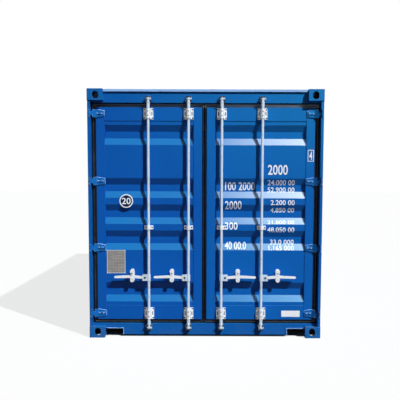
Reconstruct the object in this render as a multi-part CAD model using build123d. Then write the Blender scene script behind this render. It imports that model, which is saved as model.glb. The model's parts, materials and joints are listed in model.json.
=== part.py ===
from build123d import *
import math
import os

# A 20 ft steel dry freight container, 8 ft 6 in tall, in millimetres.
# X runs across the box, Y along it with the doors at -Y, Z up from the ground.
# Every inset is counted inwards from the outer end plane of the corner castings.

# Outside size
length = 6058.0
width = 2438.0
height = 2591.0

# Corner castings and their handling apertures
casting_long = 178.0
casting_wide = 162.0
casting_tall = 118.0
casting_wall = 28.0
casting_back = 14.0
casting_plate = 22.0
casting_round = 9.0
slot_tall = 79.5
slot_wide = 63.5
top_slot_long = 124.5
slot_from_end = 101.5
slot_from_side = 89.0

# Insets shared by the frame
skin_inset = 5.0
roof_drop = 6.0
base_lift = 17.0
sheet = 2.0
overrun = 2.0

# Door posts
post_inset = 45.0
post_wide = 28.0
post_wall = 6.0
post_rail_inset = 8.0
post_rail_side_inset = 3.0
post_rail_wide = 28.0
stop_step = 14.0
stop_inset = 128.0

# Door header and sill
frame_face = 66.0
header_tall = 129.0
header_wall = 4.0
header_step = 10.0
visor_reach = 15.0
visor_tall = 19.0
visor_edge = 5.0
sill_low = 23.0
sill_tall = 119.0
sill_wall = 4.5
sill_flange = 44.0
sill_top_flange = 62.0
recess_wide = 184.0
recess_tall = 62.0
recess_lip = 12.0
recess_lip_reach = 4.0
recess_deep = 60.0

# Side rails, cross members and floor
top_rail = 60.0
top_rail_wall = 3.0
bottom_rail_tall = 162.0
bottom_rail_top_flange = 48.0
bottom_rail_low_flange = 30.0
bottom_rail_wall = 4.5
floor_thick = 28.0
floor_top = 170.0
floor_gap = 2.0
floor_rows = 5
member_flange = 45.0
member_wall = 4.0
member_count = 17
pocket_wide = 360.0
pocket_spacing = 2050.0
pocket_plate = 4.0
pocket_side = 6.0
pocket_strap = 220.0

# Side wall corrugation
side_wall_depth = 36.0
side_outer_flat = 72.0
side_inner_flat = 70.0
side_slope = 68.0

# Front wall corrugation, posts and rails
front_wall_depth = 46.0
front_outer_flat = 110.0
front_inner_flat = 104.0
front_slope = 18.0
front_post_wide = 114.0
front_post_wall = 6.0
front_rail_deep = 60.0
front_rail_wall = 4.0

# Roof sheet with pressed troughs
trough_pitch = 209.0
trough_flat = 91.0
trough_slope = 13.5
trough_depth = 20.0
trough_side_margin = 110.0
roof_lap = 14.0
corner_plate_long = 300.0
corner_plate_wide = 195.0
corner_plate_thick = 3.0

# Side wall ventilators
vent_wide = 180.0
vent_tall = 100.0
vent_thick = 4.5
vent_top_drop = 120.0
vent_from_middle = 1200.0
vent_slots = 4
vent_slot_tall = 8.0
vent_slot_deep = 2.0
vent_slot_side = 18.0

# Door leaves
leaf_inset = 70.0
leaf_thick = 50.0
leaf_side_gap = 50.0
leaf_top_gap = 45.0
leaf_low_gap = 45.0
left_leaf_meet = 36.0
right_leaf_meet = 13.0
stile_wide = 88.0
stile_wall = 3.0
top_member_tall = 140.0
low_member_tall = 148.0
member_sheet = 3.0

# Door panel with five horizontal recesses
panel_step = 5.0
panel_recesses = 5
panel_depth = 36.0
recess_flat = 70.0
recess_slope = 68.0
panel_end_flat = 40.0
panel_small_flat = 68.0

# Door gasket
gasket_clear = 6.0
gasket_front_step = 14.0
gasket_thick = 28.0
gasket_meet_reach = 19.0

# Hinges
hinge_pin_inset = 15.0
hinge_pin_from_side = 15.0
hinge_pin_radius = 8.0
hinge_pin_play = 0.5
hinge_barrel_radius = 13.0
hinge_barrel_tall = 46.0
hinge_lug_thick = 16.0
hinge_lug_play = 2.0
hinge_count = 4
hinge_first_rise = 66.0
hinge_blade_tall = 86.0
hinge_blade_end_tall = 58.0
hinge_blade_thick = 8.0
hinge_blade_reach = 88.0
hinge_crank_run = 76.0
hinge_rib_tall = 24.0
hinge_rib_high = 5.0
hinge_rib_margin = 14.0
hinge_neck_run = 36.0

# Locking bars, cams and keepers
bar_radius = 14.5
bar_inset = 25.0
left_bars = (592.0, 176.0)
right_bars = (588.0, 168.0)
cam_reach = 31.0
cam_back_reach = 25.0
cam_wide = 24.0
cam_thick = 20.0
cam_web = 11.0
cam_play = 5.0
cam_sleeve_radius = 18.0
cam_collar_radius = 21.0
cam_collar_tall = 12.0
cam_sleeve_play = 5.0
keeper_jaw = 10.0
keeper_wide = 72.0
keeper_cap_wide = 52.0
keeper_base = 4.0
keeper_base_wide = 44.0
keeper_front_inset = 10.0
keeper_notch_play = 8.0
keeper_round = 4.0
top_cam_rise = 39.0
low_cam_rise = 83.0

# Brackets that hold the bars on the leaf
bracket_plate = 6.0
bracket_wide = 99.0
top_bracket_tall = 113.0
low_bracket_tall = 123.0
top_bracket_drop = 10.0
low_bracket_rise = 4.0
bracket_band_margin = 7.0
bracket_band_wall = 7.0
bracket_slot_tall = 42.0
bracket_slot_wide = 9.0
bar_play = 1.0
guide_wide = 92.0
guide_tall = 41.0

# Handles: hub on the bar, lifting handle, retainer and catch on the leaf
handle_axis_rise = 650.0
hub_tall = 72.0
hub_drop = 12.0
hub_wall = 5.0
hub_cheek = 6.0
hub_cheek_tall = 66.0
hub_cheek_wide = 56.0
hub_cheek_round = 9.0
hub_pin_radius = 6.0
hub_pin_play = 0.5
handle_pin_reach = 40.0
handle_play = 1.5
handle_thick = 12.0
handle_inset = 23.0
handle_eye_radius = 14.0
handle_root_tall = 30.0
handle_tip_tall = 24.0
handle_tip_drop = 7.0
handle_reach = 365.0
handle_boss_radius = 18.0
retainer_reach = 175.0
retainer_wide = 43.0
retainer_base = 6.0
retainer_low = 60.0
retainer_high = 76.0
retainer_web = 16.0
retainer_hole_radius = 8.0
retainer_hole_drop = 31.0
retainer_lobe_thick = 5.0
retainer_shelf_gap = 3.0
retainer_shelf_tall = 8.0
catch_pivot_rise = 35.0
catch_pin_radius = 4.0
catch_neck_radius = 12.0
catch_head_rise = 21.0
catch_hole_radius = 7.0
catch_thick = 4.0
catch_front_inset = 3.0
catch_play = 1.0
catch_arm_low = 55.0

# Places that follow from the sizes above
door_y = -length / 2
nose_y = length / 2
side_x = width / 2
skin_x = side_x - skin_inset
casting_in_x = side_x - casting_wide
casting_in_y = length / 2 - casting_long
casting_top_z = height - casting_tall
roof_top = height - roof_drop
roof_seat = roof_top - sheet
post_in_x = skin_x - post_wide
stop_x = post_in_x - stop_step
header_low = roof_seat - header_tall
sill_top = sill_low + sill_tall
rail_top = base_lift + bottom_rail_tall
member_low = base_lift + bottom_rail_wall
member_top = floor_top - floor_thick
wall_in_x = skin_x - sheet - side_wall_depth
leaf_out_x = post_in_x - leaf_side_gap
leaf_top = header_low - leaf_top_gap
leaf_low = sill_top + leaf_low_gap
hinge_x = side_x - hinge_pin_from_side
hinge_y = door_y + hinge_pin_inset
bar_y = door_y + bar_inset
frame_y = door_y + frame_face
leaf_y = door_y + leaf_inset
panel_low = leaf_low + low_member_tall
panel_top = leaf_top - top_member_tall
top_cam_z = header_low + top_cam_rise
low_cam_z = sill_low + low_cam_rise
handle_y = door_y + handle_inset
handle_front_y = handle_y - handle_thick / 2


def block(x0, x1, y0, y1, z0, z1):
    """Solid between two opposite corners."""
    centre = Pos((x0 + x1) / 2, (y0 + y1) / 2, (z0 + z1) / 2)
    return centre * Box(abs(x1 - x0), abs(y1 - y0), abs(z1 - z0))


def upright(outline, z0, z1):
    """Plan outline (x, y) raised from z0 to z1."""
    return extrude(Plane.XY.offset(z0) * outline, z1 - z0, dir=(0, 0, 1))


def across(outline, x0, x1):
    """Side outline (y, z) carried from x0 to x1."""
    return extrude(Plane.YZ.offset(x0) * outline, x1 - x0, dir=(1, 0, 0))


def inwards(outline, y0, y1):
    """End outline (x, z) carried from y0 to y1."""
    return extrude(Plane.XZ.offset(-y0) * outline, y1 - y0, dir=(0, 1, 0))


def outline_of(points):
    """Closed flat face through corner points."""
    return make_face(Polyline(*points, close=True))


def bent_sheet(path, thickness):
    """Outline of a folded sheet whose outer surface follows a path, with its thickness on the right."""
    inner = []
    for i, point in enumerate(path):
        before = path[max(i - 1, 0)]
        after = path[min(i + 1, len(path) - 1)]
        normals = []
        for start, end in ((before, point), (point, after)):
            run = math.hypot(end[0] - start[0], end[1] - start[1])
            if run > 0:
                normals.append(((end[1] - start[1]) / run, (start[0] - end[0]) / run))
        first = normals[0]
        last = normals[-1]
        reach = thickness / (1 + first[0] * last[0] + first[1] * last[1])
        inner.append((point[0] + reach * (first[0] + last[0]), point[1] + reach * (first[1] + last[1])))
    return outline_of(list(path) + inner[::-1])


def rounded_link(low, low_radius, high, high_radius):
    """Outline of a plate with two round ends."""
    ends = Pos(*low) * Circle(low_radius) + Pos(*high) * Circle(high_radius)
    return make_hull(ends.edges())


def other_side(shape):
    """The same piece on the left."""
    return mirror(shape, about=Plane.YZ)


def other_end(shape):
    """The same piece at the front end."""
    return mirror(shape, about=Plane.XZ)


def both_sides(shape):
    """A pair of like pieces, right and left."""
    return Compound([shape, other_side(shape)])


def corner_casting(upper):
    """Hollow corner casting at the right of the door end, open on its end, side and top or bottom."""
    z0 = casting_top_z if upper else 0
    room_low = z0 + (casting_back if upper else casting_plate)
    room_high = z0 + casting_tall - (casting_plate if upper else casting_back)
    body = block(casting_in_x, side_x, door_y, door_y + casting_long, z0, z0 + casting_tall)
    edge = body.edges().filter_by(Axis.Z).sort_by(lambda e: e.center().X - e.center().Y)[-1]
    body = fillet(edge, casting_round)
    room = block(casting_in_x + casting_back, side_x - casting_wall,
                 door_y + casting_wall, door_y + casting_long - casting_back, room_low, room_high)
    slot_x = side_x - slot_from_side
    slot_y = door_y + slot_from_end
    slot_z = (room_low + room_high) / 2
    upright_slot = SlotOverall(slot_tall, slot_wide, rotation=90)
    end_slot = inwards(Pos(slot_x, slot_z) * upright_slot, door_y - overrun, door_y + casting_wall + overrun)
    side_slot = across(Pos(slot_y, slot_z) * upright_slot, side_x - casting_wall - overrun, side_x + overrun)
    plate_low = room_high - overrun if upper else z0 - overrun
    plate_high = z0 + casting_tall + overrun if upper else room_low + overrun
    plate_slot = upright(Pos(slot_x, slot_y) * SlotOverall(top_slot_long, slot_wide, rotation=90),
                         plate_low, plate_high)
    return body - room - end_slot - side_slot - plate_slot


def corner_castings(upper):
    """Four castings at one level."""
    right = corner_casting(upper)
    pair = [right, other_side(right)]
    return Compound(pair + [other_end(casting) for casting in pair])


def door_post():
    """Hollow right post of the door end, stepped for the seal, with rails between its hinges."""
    y0 = door_y + post_inset
    y_stop = door_y + stop_inset
    y1 = door_y + casting_long
    outline = outline_of([(post_in_x, y0), (skin_x, y0), (skin_x, y1), (stop_x, y1),
                          (stop_x, y_stop), (post_in_x, y_stop)])
    post = upright(outline - offset(outline, -post_wall), casting_tall, casting_top_z)
    rail_x = side_x - post_rail_side_inset
    reach = hinge_barrel_tall / 2 + hinge_lug_play + hinge_lug_thick
    low = casting_tall
    for z in hinge_heights() + [casting_top_z + reach]:
        post += block(rail_x - post_rail_wide, rail_x, door_y + post_rail_inset, y0, low, z - reach)
        low = z + reach
    return post


def door_header():
    """Hollow beam over the doors with a sloping visor along its top edge."""
    y_stop = door_y + stop_inset
    y1 = door_y + casting_long
    step_z = header_low - header_step
    outline = outline_of([(frame_y, header_low), (y_stop, header_low), (y_stop, step_z),
                          (y1, step_z), (y1, roof_top), (frame_y, roof_top)])
    beam = across(outline - offset(outline, -header_wall), -post_in_x, post_in_x)
    for side in (-1, 1):
        beam -= block(side * casting_in_x, side * side_x, frame_y - overrun, y1 + overrun,
                      casting_top_z, height)
        beam -= block(side * stop_x, side * side_x, y_stop, y1 + overrun, step_z - overrun, height)
    visor_low = roof_top - visor_tall
    visor = outline_of([(frame_y, visor_low), (frame_y - visor_reach, visor_low),
                        (frame_y - visor_reach, visor_low + visor_edge), (frame_y, roof_top)])
    return beam + across(visor, -casting_in_x, casting_in_x)


def door_sill():
    """Folded sill under the doors, cut out beside the castings and lined there with plate."""
    y_stop = door_y + stop_inset
    path = [(frame_y + sill_flange, sill_low), (frame_y, sill_low), (frame_y, sill_top),
            (y_stop, sill_top), (y_stop, floor_top), (y_stop + sill_top_flange, floor_top)]
    sill = across(bent_sheet(path, sill_wall), -post_in_x, post_in_x)
    back = y_stop + sill_top_flange + overrun
    lined = recess_wide + recess_lip
    for side in (-1, 1):
        sill -= block(side * casting_in_x, side * side_x, frame_y - overrun, door_y + casting_long,
                      0, casting_tall)
        sill -= block(side * stop_x, side * side_x, y_stop, back, casting_tall - overrun,
                      floor_top + overrun)
        outer = block(side * (casting_in_x - lined), side * casting_in_x,
                      frame_y - recess_lip_reach, frame_y + recess_deep,
                      sill_low, sill_low + recess_tall + recess_lip)
        gap = block(side * (casting_in_x - recess_wide), side * casting_in_x,
                    frame_y - recess_lip_reach - overrun, frame_y + recess_deep + overrun,
                    sill_low - overrun, sill_low + recess_tall)
        sill = sill + outer - gap
    return sill


def cam_keeper(x, cam_z, bar_above):
    """Forked keeper: a base plate with a cap beyond the cam and a notched jaw where the bar comes in."""
    reach = cam_thick / 2 + cam_play
    y0 = door_y + keeper_front_inset
    base_y = frame_y - keeper_base
    keeper = block(x - keeper_base_wide / 2, x + keeper_base_wide / 2, base_y, frame_y,
                   cam_z - reach - keeper_jaw, cam_z + reach + keeper_jaw)
    notch = bar_radius + keeper_notch_play
    for side in (-1, 1):
        notched = (side > 0) == bar_above
        wide = keeper_wide if notched else keeper_cap_wide
        z = cam_z + side * (reach + keeper_jaw / 2)
        jaw = inwards(Pos(x, z) * RectangleRounded(wide, keeper_jaw, keeper_round), y0, frame_y)
        if notched:
            slot = Pos(x, bar_y) * Circle(notch) + Pos(x, bar_y - notch) * Rectangle(2 * notch, 2 * notch)
            jaw -= upright(slot, z - keeper_jaw, z + keeper_jaw)
        keeper += jaw
    return keeper


def cam_keepers():
    """Keepers of all the bars on the header and on the sill."""
    places = [-x for x in left_bars] + list(right_bars)
    upper = [cam_keeper(x, top_cam_z, False) for x in places]
    lower = [cam_keeper(x, low_cam_z, True) for x in places]
    return Compound(upper + lower)


def hinge_heights():
    """Middle heights of the hinges, the first and last as far from the leaf's ends."""
    first = leaf_low + hinge_first_rise
    last = leaf_top - hinge_first_rise
    step = (last - first) / (hinge_count - 1)
    return [first + step * i for i in range(hinge_count)]


def hinge_lugs():
    """Two lugs a hinge welded on the right post, with the pin through them."""
    reach = hinge_barrel_tall / 2 + hinge_lug_play
    outline = rounded_link((hinge_x, hinge_y), hinge_barrel_radius,
                           (hinge_x, door_y + post_inset - hinge_barrel_radius), hinge_barrel_radius)
    root = Pos(skin_x - hinge_barrel_radius, door_y + post_inset - hinge_barrel_radius)
    outline += root * Rectangle(2 * hinge_barrel_radius, 2 * hinge_barrel_radius)
    cheeks = []
    for z in hinge_heights():
        pin = Pos(hinge_x, hinge_y, z) * Cylinder(hinge_pin_radius, 2 * reach + 2 * hinge_lug_thick)
        hinge = pin
        for side in (-1, 1):
            hinge += upright(outline, z + side * reach, z + side * (reach + hinge_lug_thick))
        cheeks.append(hinge)
    return cheeks


def front_post():
    """Folded right post of the front end."""
    y0 = nose_y - skin_inset
    x0 = skin_x - front_post_wide
    path = [(x0, y0 - front_wall_depth), (x0, y0), (skin_x, y0), (skin_x, casting_in_y),
            (wall_in_x, casting_in_y)]
    return upright(bent_sheet(path, front_post_wall), casting_tall, casting_top_z)


def front_header():
    """Hollow beam along the top of the front end, with a strip back to the roof sheet."""
    y1 = nose_y - skin_inset
    outline = outline_of([(y1 - front_rail_deep, casting_top_z), (y1, casting_top_z),
                          (y1, roof_seat), (y1 - front_rail_deep, roof_seat)])
    beam = across(outline - offset(outline, -front_rail_wall), -casting_in_x, casting_in_x)
    return beam + block(-casting_in_x, casting_in_x, casting_in_y, y1, roof_seat, roof_top)


def front_sill():
    """Folded channel along the bottom of the front end."""
    y1 = nose_y - skin_inset
    path = [(y1 - front_rail_deep, casting_tall), (y1, casting_tall), (y1, base_lift),
            (y1 - front_rail_deep, base_lift)]
    return across(bent_sheet(path, front_rail_wall), -casting_in_x, casting_in_x)


def top_side_rail():
    """Square tube along the top of the right side."""
    outline = outline_of([(skin_x - top_rail, roof_seat - top_rail), (skin_x, roof_seat - top_rail),
                          (skin_x, roof_seat), (skin_x - top_rail, roof_seat)])
    return inwards(outline - offset(outline, -top_rail_wall), -casting_in_y, casting_in_y)


def bottom_side_rail():
    """Folded channel along the bottom of the right side, cut through at the fork pockets."""
    path = [(skin_x - bottom_rail_low_flange, base_lift), (skin_x, base_lift), (skin_x, rail_top),
            (skin_x - bottom_rail_top_flange, rail_top)]
    rail = inwards(bent_sheet(path[::-1], bottom_rail_wall), -casting_in_y, casting_in_y)
    half = pocket_wide / 2 + pocket_side
    for side in (-1, 1):
        y = side * pocket_spacing / 2
        rail -= block(skin_x - bottom_rail_wall - overrun, skin_x + overrun, y - half, y + half,
                      member_low, member_top)
    return rail


def wave(count, margin, outer_flat, slope, inner_flat, depth):
    """Corrugation as (along, in) points, from 0 on, with flats of the margin more at both ends."""
    points = [(0, 0)]
    along = margin + outer_flat
    for _ in range(count):
        points.append((along, 0))
        points.append((along + slope, depth))
        points.append((along + slope + inner_flat, depth))
        along += 2 * slope + inner_flat
        points.append((along, 0))
        along += outer_flat
    points.append((along + margin, 0))
    return points


def side_wall():
    """Right side wall, vertical corrugations in one thin sheet."""
    pitch = side_outer_flat + side_inner_flat + 2 * side_slope
    span = 2 * casting_in_y
    count = int((span - side_outer_flat) // pitch)
    margin = (span - count * pitch - side_outer_flat) / 2
    points = wave(count, margin, side_outer_flat, side_slope, side_inner_flat, side_wall_depth)
    face_x = wall_in_x + side_wall_depth + sheet
    path = [(face_x - depth, casting_in_y - along) for along, depth in points]
    return upright(bent_sheet(path, sheet), rail_top, roof_seat - top_rail)


def front_wall():
    """Front wall, vertical corrugations with steep sides."""
    pitch = front_outer_flat + front_inner_flat + 2 * front_slope
    half = skin_x - front_post_wide
    count = int((2 * half - front_outer_flat) // pitch)
    margin = (2 * half - count * pitch - front_outer_flat) / 2
    depth = front_wall_depth - sheet
    points = wave(count, margin, front_outer_flat, front_slope, front_inner_flat, depth)
    path = [(along - half, nose_y - skin_inset - inner) for along, inner in points]
    return upright(bent_sheet(path, sheet), casting_tall, casting_top_z)


def roof_panel():
    """Roof sheet with cross troughs pressed into it, lapped on the rails."""
    half_x = skin_x - roof_lap
    roof = block(-half_x, half_x, -casting_in_y, casting_in_y, roof_seat, roof_top)
    span = 2 * (casting_in_y - trough_side_margin / 2)
    count = int(span // trough_pitch)
    trough_long = 2 * (half_x - trough_side_margin)
    trough_wide = trough_flat + 2 * trough_slope
    lean = math.degrees(math.atan2(trough_slope, trough_depth))
    pressed = []
    hollow = []
    for i in range(count):
        y = (i - (count - 1) / 2) * trough_pitch
        rim = Plane.XY.offset(roof_top) * Pos(0, y)
        grow = 2 * sheet
        pressed.append(extrude(rim * Rectangle(trough_long + grow, trough_wide + grow),
                               -trough_depth - sheet, taper=lean))
        hollow.append(extrude(rim * Rectangle(trough_long, trough_wide), -trough_depth, taper=lean))
    roof = roof.fuse(*pressed)
    return roof.cut(*hollow)


def roof_corner_plates():
    """Plates that guard the roof beside the castings."""
    x1 = skin_x - roof_lap
    plate = block(x1 - corner_plate_wide, x1, -casting_in_y, corner_plate_long - casting_in_y,
                  roof_top, roof_top + corner_plate_thick)
    pair = [plate, other_side(plate)]
    return Compound(pair + [other_end(shape) for shape in pair])


def cross_members():
    """Folded channels under the floor, left out where the fork pockets are."""
    half = skin_x - bottom_rail_wall
    first = -casting_in_y + member_flange
    last = casting_in_y - member_flange
    clear = pocket_wide / 2 + pocket_side + member_flange
    channels = []
    for i in range(member_count):
        y = first + (last - first) * i / (member_count - 1)
        if min(abs(y - pocket_spacing / 2), abs(y + pocket_spacing / 2)) < clear + member_flange:
            continue
        path = [(y + member_flange, member_top), (y, member_top), (y, member_low),
                (y + member_flange, member_low)]
        channels.append(across(bent_sheet(path[::-1], member_wall), -half, half))
    return Compound(channels)


def fork_pocket(y):
    """One fork pocket: two side channels, a top plate and straps under both ends."""
    half = pocket_wide / 2
    side_half = half + pocket_side
    pocket = block(-skin_x, skin_x, y - side_half, y + side_half, member_top - pocket_plate, member_top)
    for side in (-1, 1):
        pocket += block(-skin_x, skin_x, y + side * half, y + side * side_half, member_low, member_top)
        pocket += block(side * (skin_x - pocket_strap), side * skin_x, y - side_half, y + side_half,
                        member_low, member_low + pocket_plate)
    return pocket


def floor_boards():
    """Plywood floor sheets in two rows of five, laid between the side rails."""
    half = skin_x - bottom_rail_top_flange - floor_gap
    y0 = door_y + stop_inset + sill_top_flange + floor_gap
    y1 = nose_y - skin_inset - front_wall_depth - floor_gap
    step = (y1 - y0) / floor_rows
    boards = []
    for i in range(floor_rows):
        for side in (-1, 1):
            boards.append(block(side * floor_gap / 2, side * half, y0 + i * step,
                                y0 + (i + 1) * step - floor_gap, member_top, floor_top))
    return Compound(boards)


def ventilator(y):
    """Flat slotted ventilator on the right side wall."""
    z1 = roof_seat - top_rail - vent_top_drop
    x0 = wall_in_x + side_wall_depth + sheet
    half = vent_wide / 2
    vent = block(x0, x0 + vent_thick, y - half, y + half, z1 - vent_tall, z1)
    vent = chamfer(vent.faces().sort_by(Axis.X)[-1].edges(), vent_slot_deep)
    step = vent_tall / (vent_slots + 1)
    for i in range(vent_slots):
        z = z1 - step * (i + 1)
        vent -= block(x0 + vent_thick - vent_slot_deep, x0 + vent_thick + overrun,
                      y - half + vent_slot_side, y + half - vent_slot_side,
                      z - vent_slot_tall / 2, z + vent_slot_tall / 2)
    return vent


def door_frame(meet):
    """Right leaf frame: two tube stiles joined by channel members at the top and bottom."""
    y0 = leaf_y
    y1 = leaf_y + leaf_thick
    frame = None
    for x0, x1 in ((meet, meet + stile_wide), (leaf_out_x - stile_wide, leaf_out_x)):
        stile = block(x0, x1, y0, y1, leaf_low, leaf_top)
        stile -= block(x0 + stile_wall, x1 - stile_wall, y0 + stile_wall, y1 - stile_wall,
                       leaf_low - overrun, leaf_top + overrun)
        frame = stile if frame is None else frame + stile
    for z0, z1 in ((leaf_low, panel_low), (panel_top, leaf_top)):
        path = [(y1, z0), (y0, z0), (y0, z1), (y1, z1)]
        frame += across(bent_sheet(path, member_sheet), meet + stile_wide, leaf_out_x - stile_wide)
    return frame


def door_panel(meet):
    """Right leaf panel: one sheet with three close recesses in the middle and one near each end."""
    recess = 2 * recess_slope + recess_flat
    small_flats = [panel_small_flat] * (panel_recesses - 3)
    kept = panel_recesses * recess + sum(small_flats) + 2 * panel_end_flat
    wide_flat = (panel_top - panel_low - kept) / 2
    y0 = leaf_y + panel_step
    y1 = y0 + panel_depth
    z = panel_low
    path = [(y0, z)]
    for flat in [panel_end_flat, wide_flat] + small_flats + [wide_flat]:
        z += flat
        path += [(y0, z), (y1, z + recess_slope), (y1, z + recess_slope + recess_flat)]
        z += recess
        path.append((y0, z))
    path.append((y0, panel_top))
    return across(bent_sheet(path, sheet), meet + stile_wide, leaf_out_x - stile_wide)


def door_gasket(meet):
    """Right leaf seal: a rubber ring round the edge of the leaf."""
    y0 = leaf_y + gasket_front_step
    y1 = y0 + gasket_thick
    ring = block(meet - gasket_meet_reach, leaf_out_x + leaf_side_gap - gasket_clear, y0, y1,
                 leaf_low - leaf_low_gap + gasket_clear, leaf_top + leaf_top_gap - gasket_clear)
    return ring - block(meet, leaf_out_x, y0 - overrun, y1 + overrun, leaf_low, leaf_top)


def hinge_blades():
    """Right leaf hinge blades: a barrel on the pin and a cranked, tapered and ribbed plate on the stile."""
    middle_y = leaf_y - hinge_blade_thick / 2
    crank_x = hinge_x - hinge_crank_run
    bend = hinge_blade_thick / 2 * math.tan(math.atan2(middle_y - hinge_y, hinge_crank_run) / 2)
    path = [(leaf_out_x - hinge_blade_reach, leaf_y - hinge_blade_thick),
            (crank_x - bend, leaf_y - hinge_blade_thick)]
    slope = (hinge_y - middle_y) / hinge_crank_run
    run = math.hypot(hinge_crank_run, middle_y - hinge_y)
    end_y = hinge_y - hinge_blade_thick / 2 * hinge_crank_run / run
    end_x = hinge_x + hinge_blade_thick / 2 * (hinge_y - middle_y) / run
    path.append((end_x, end_y))
    outline = bent_sheet(path[::-1], hinge_blade_thick)
    barrel = Pos(hinge_x, hinge_y) * Circle(hinge_barrel_radius)
    hole = Pos(hinge_x, hinge_y) * Circle(hinge_pin_radius + hinge_pin_play)
    neck_x = hinge_x - hinge_neck_run
    half = hinge_blade_tall / 2
    end_half = hinge_blade_end_tall / 2
    barrel_half = hinge_barrel_tall / 2
    tail_x = leaf_out_x - hinge_blade_reach
    upper = [(tail_x, end_half), (crank_x, half), (neck_x, half), (neck_x, barrel_half),
             (side_x, barrel_half)]
    shape = outline_of(upper + [(x, -z) for x, z in reversed(upper)])
    rib_y = leaf_y - hinge_blade_thick - hinge_rib_high
    blades = []
    for z in hinge_heights():
        blade = upright(outline, z - half, z + half) & inwards(Pos(0, z) * shape, door_y, leaf_y)
        rib = block(tail_x + hinge_rib_margin, crank_x, rib_y, leaf_y - hinge_blade_thick,
                    z - hinge_rib_tall / 2, z + hinge_rib_tall / 2)
        front = rib.faces().sort_by(Axis.Y)[0]
        blade += chamfer(front.edges().filter_by(Axis.X), hinge_rib_high * 4 / 5)
        blade += upright(barrel, z - barrel_half, z + barrel_half)
        blades.append(blade - upright(hole, z - half, z + half))
    return Compound(blades)


def bar_bracket(x, z0, z1, wide, band_margin):
    """Plate on the leaf with a raised half-round cover round the locking bar."""
    plate_y = leaf_y - bracket_plate
    bore = bar_radius + bar_play
    outer = bore + bracket_band_wall
    plate = block(x - wide / 2, x + wide / 2, plate_y, leaf_y, z0, z1)
    band = Pos(x, bar_y) * Circle(outer)
    band += Pos(x, (bar_y + plate_y) / 2) * Rectangle(2 * outer, plate_y - bar_y)
    band -= Pos(x, bar_y) * Circle(bore)
    return plate + upright(band, z0 + band_margin, z1 - band_margin)


def end_bracket(x, z0, z1):
    """Bearing bracket near the end of a bar, slotted on both sides of its cover."""
    bracket = bar_bracket(x, z0, z1, bracket_wide, bracket_band_margin)
    strip = (bracket_wide / 2 + bar_radius + bar_play + bracket_band_wall) / 2
    slot = SlotOverall(bracket_slot_tall, bracket_slot_wide, rotation=90)
    for side in (-1, 1):
        bracket -= inwards(Pos(x + side * strip, (z0 + z1) / 2) * slot,
                           leaf_y - bracket_plate - overrun, leaf_y + overrun)
    return bracket


def guide_bracket(x, z0, z1):
    """Small guide at the middle of a bar, on the panel."""
    guide = bar_bracket(x, z0, z1, guide_wide, 0)
    return guide + block(x - guide_wide / 2, x + guide_wide / 2, leaf_y, leaf_y + panel_step, z0, z1)


def bar_brackets(bars):
    """Bearing plates at both ends and a guide at the middle of each bar on the right leaf."""
    flat_middle = (panel_low + panel_top - recess_flat - 2 * recess_slope - panel_small_flat) / 2
    brackets = []
    for x in bars:
        top = leaf_top - top_bracket_drop
        low = leaf_low + low_bracket_rise
        brackets.append(end_bracket(x, top - top_bracket_tall, top))
        brackets.append(end_bracket(x, low, low + low_bracket_tall))
        brackets.append(guide_bracket(x, flat_middle - guide_tall / 2, flat_middle + guide_tall / 2))
    return Compound(brackets)


def handle_retainer(bar_x):
    """Retainer on the right leaf: base plate, shelf with a holed lobe below, arm for the catch above."""
    x = bar_x + retainer_reach
    z = handle_axis_rise
    half = retainer_wide / 2
    base_y = leaf_y + panel_step - retainer_base
    base = rounded_link((x, z - retainer_low + half), half, (x, z + retainer_high - half), half)
    retainer = inwards(base, base_y, leaf_y + panel_step)
    shelf_top = z - handle_boss_radius - retainer_shelf_gap
    lobe = Pos(x, z - retainer_low + half) * Circle(half)
    lobe += Pos(x, (z - retainer_low + half + shelf_top) / 2) * Rectangle(
        retainer_wide, shelf_top - z + retainer_low - half)
    lobe -= Pos(x, shelf_top + half) * Rectangle(retainer_wide + overrun, retainer_wide)
    lobe -= Pos(x, z - retainer_hole_drop - retainer_hole_radius) * Circle(retainer_hole_radius)
    retainer += inwards(lobe, handle_front_y, handle_front_y + retainer_lobe_thick)
    retainer += block(x - half, x + half, handle_front_y, base_y, shelf_top - retainer_shelf_tall, shelf_top)
    retainer += block(x - retainer_web / 2, x + retainer_web / 2, handle_front_y + retainer_lobe_thick,
                      base_y, z - retainer_low + retainer_web, shelf_top)
    ear_y = door_y + catch_front_inset + catch_thick + catch_play
    pivot_z = z + catch_pivot_rise
    arm_z = z + catch_arm_low
    ear = rounded_link((x, pivot_z), catch_neck_radius, (x, arm_z + catch_neck_radius), catch_neck_radius)
    retainer += inwards(ear, ear_y, ear_y + catch_thick)
    retainer += block(x - retainer_web / 2, x + retainer_web / 2, ear_y, base_y,
                      arm_z, z + retainer_high - half / 2)
    pin = inwards(Pos(x, pivot_z) * Circle(catch_pin_radius), door_y + catch_front_inset, ear_y)
    return retainer + pin


def cam(x, z, hand):
    """Cam of a bar: a hub, a web to both sides and a full-height claw at the end of the longer one."""
    hub = Pos(x, bar_y) * Circle(cam_sleeve_radius)
    web = make_hull((Pos(x - hand * (cam_back_reach - cam_web / 2), bar_y) * Circle(cam_web / 2)
                     + Pos(x + hand * (cam_reach - cam_web), bar_y) * Circle(cam_web)).edges())
    claw = Pos(x + hand * (cam_reach - cam_web / 2), bar_y) * SlotOverall(cam_wide, cam_web, rotation=90)
    piece = upright(hub, z - cam_thick / 2, z + cam_thick / 2)
    piece += upright(web, z - cam_web / 2, z + cam_web / 2)
    return piece + upright(claw, z - cam_thick / 2, z + cam_thick / 2)


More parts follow.
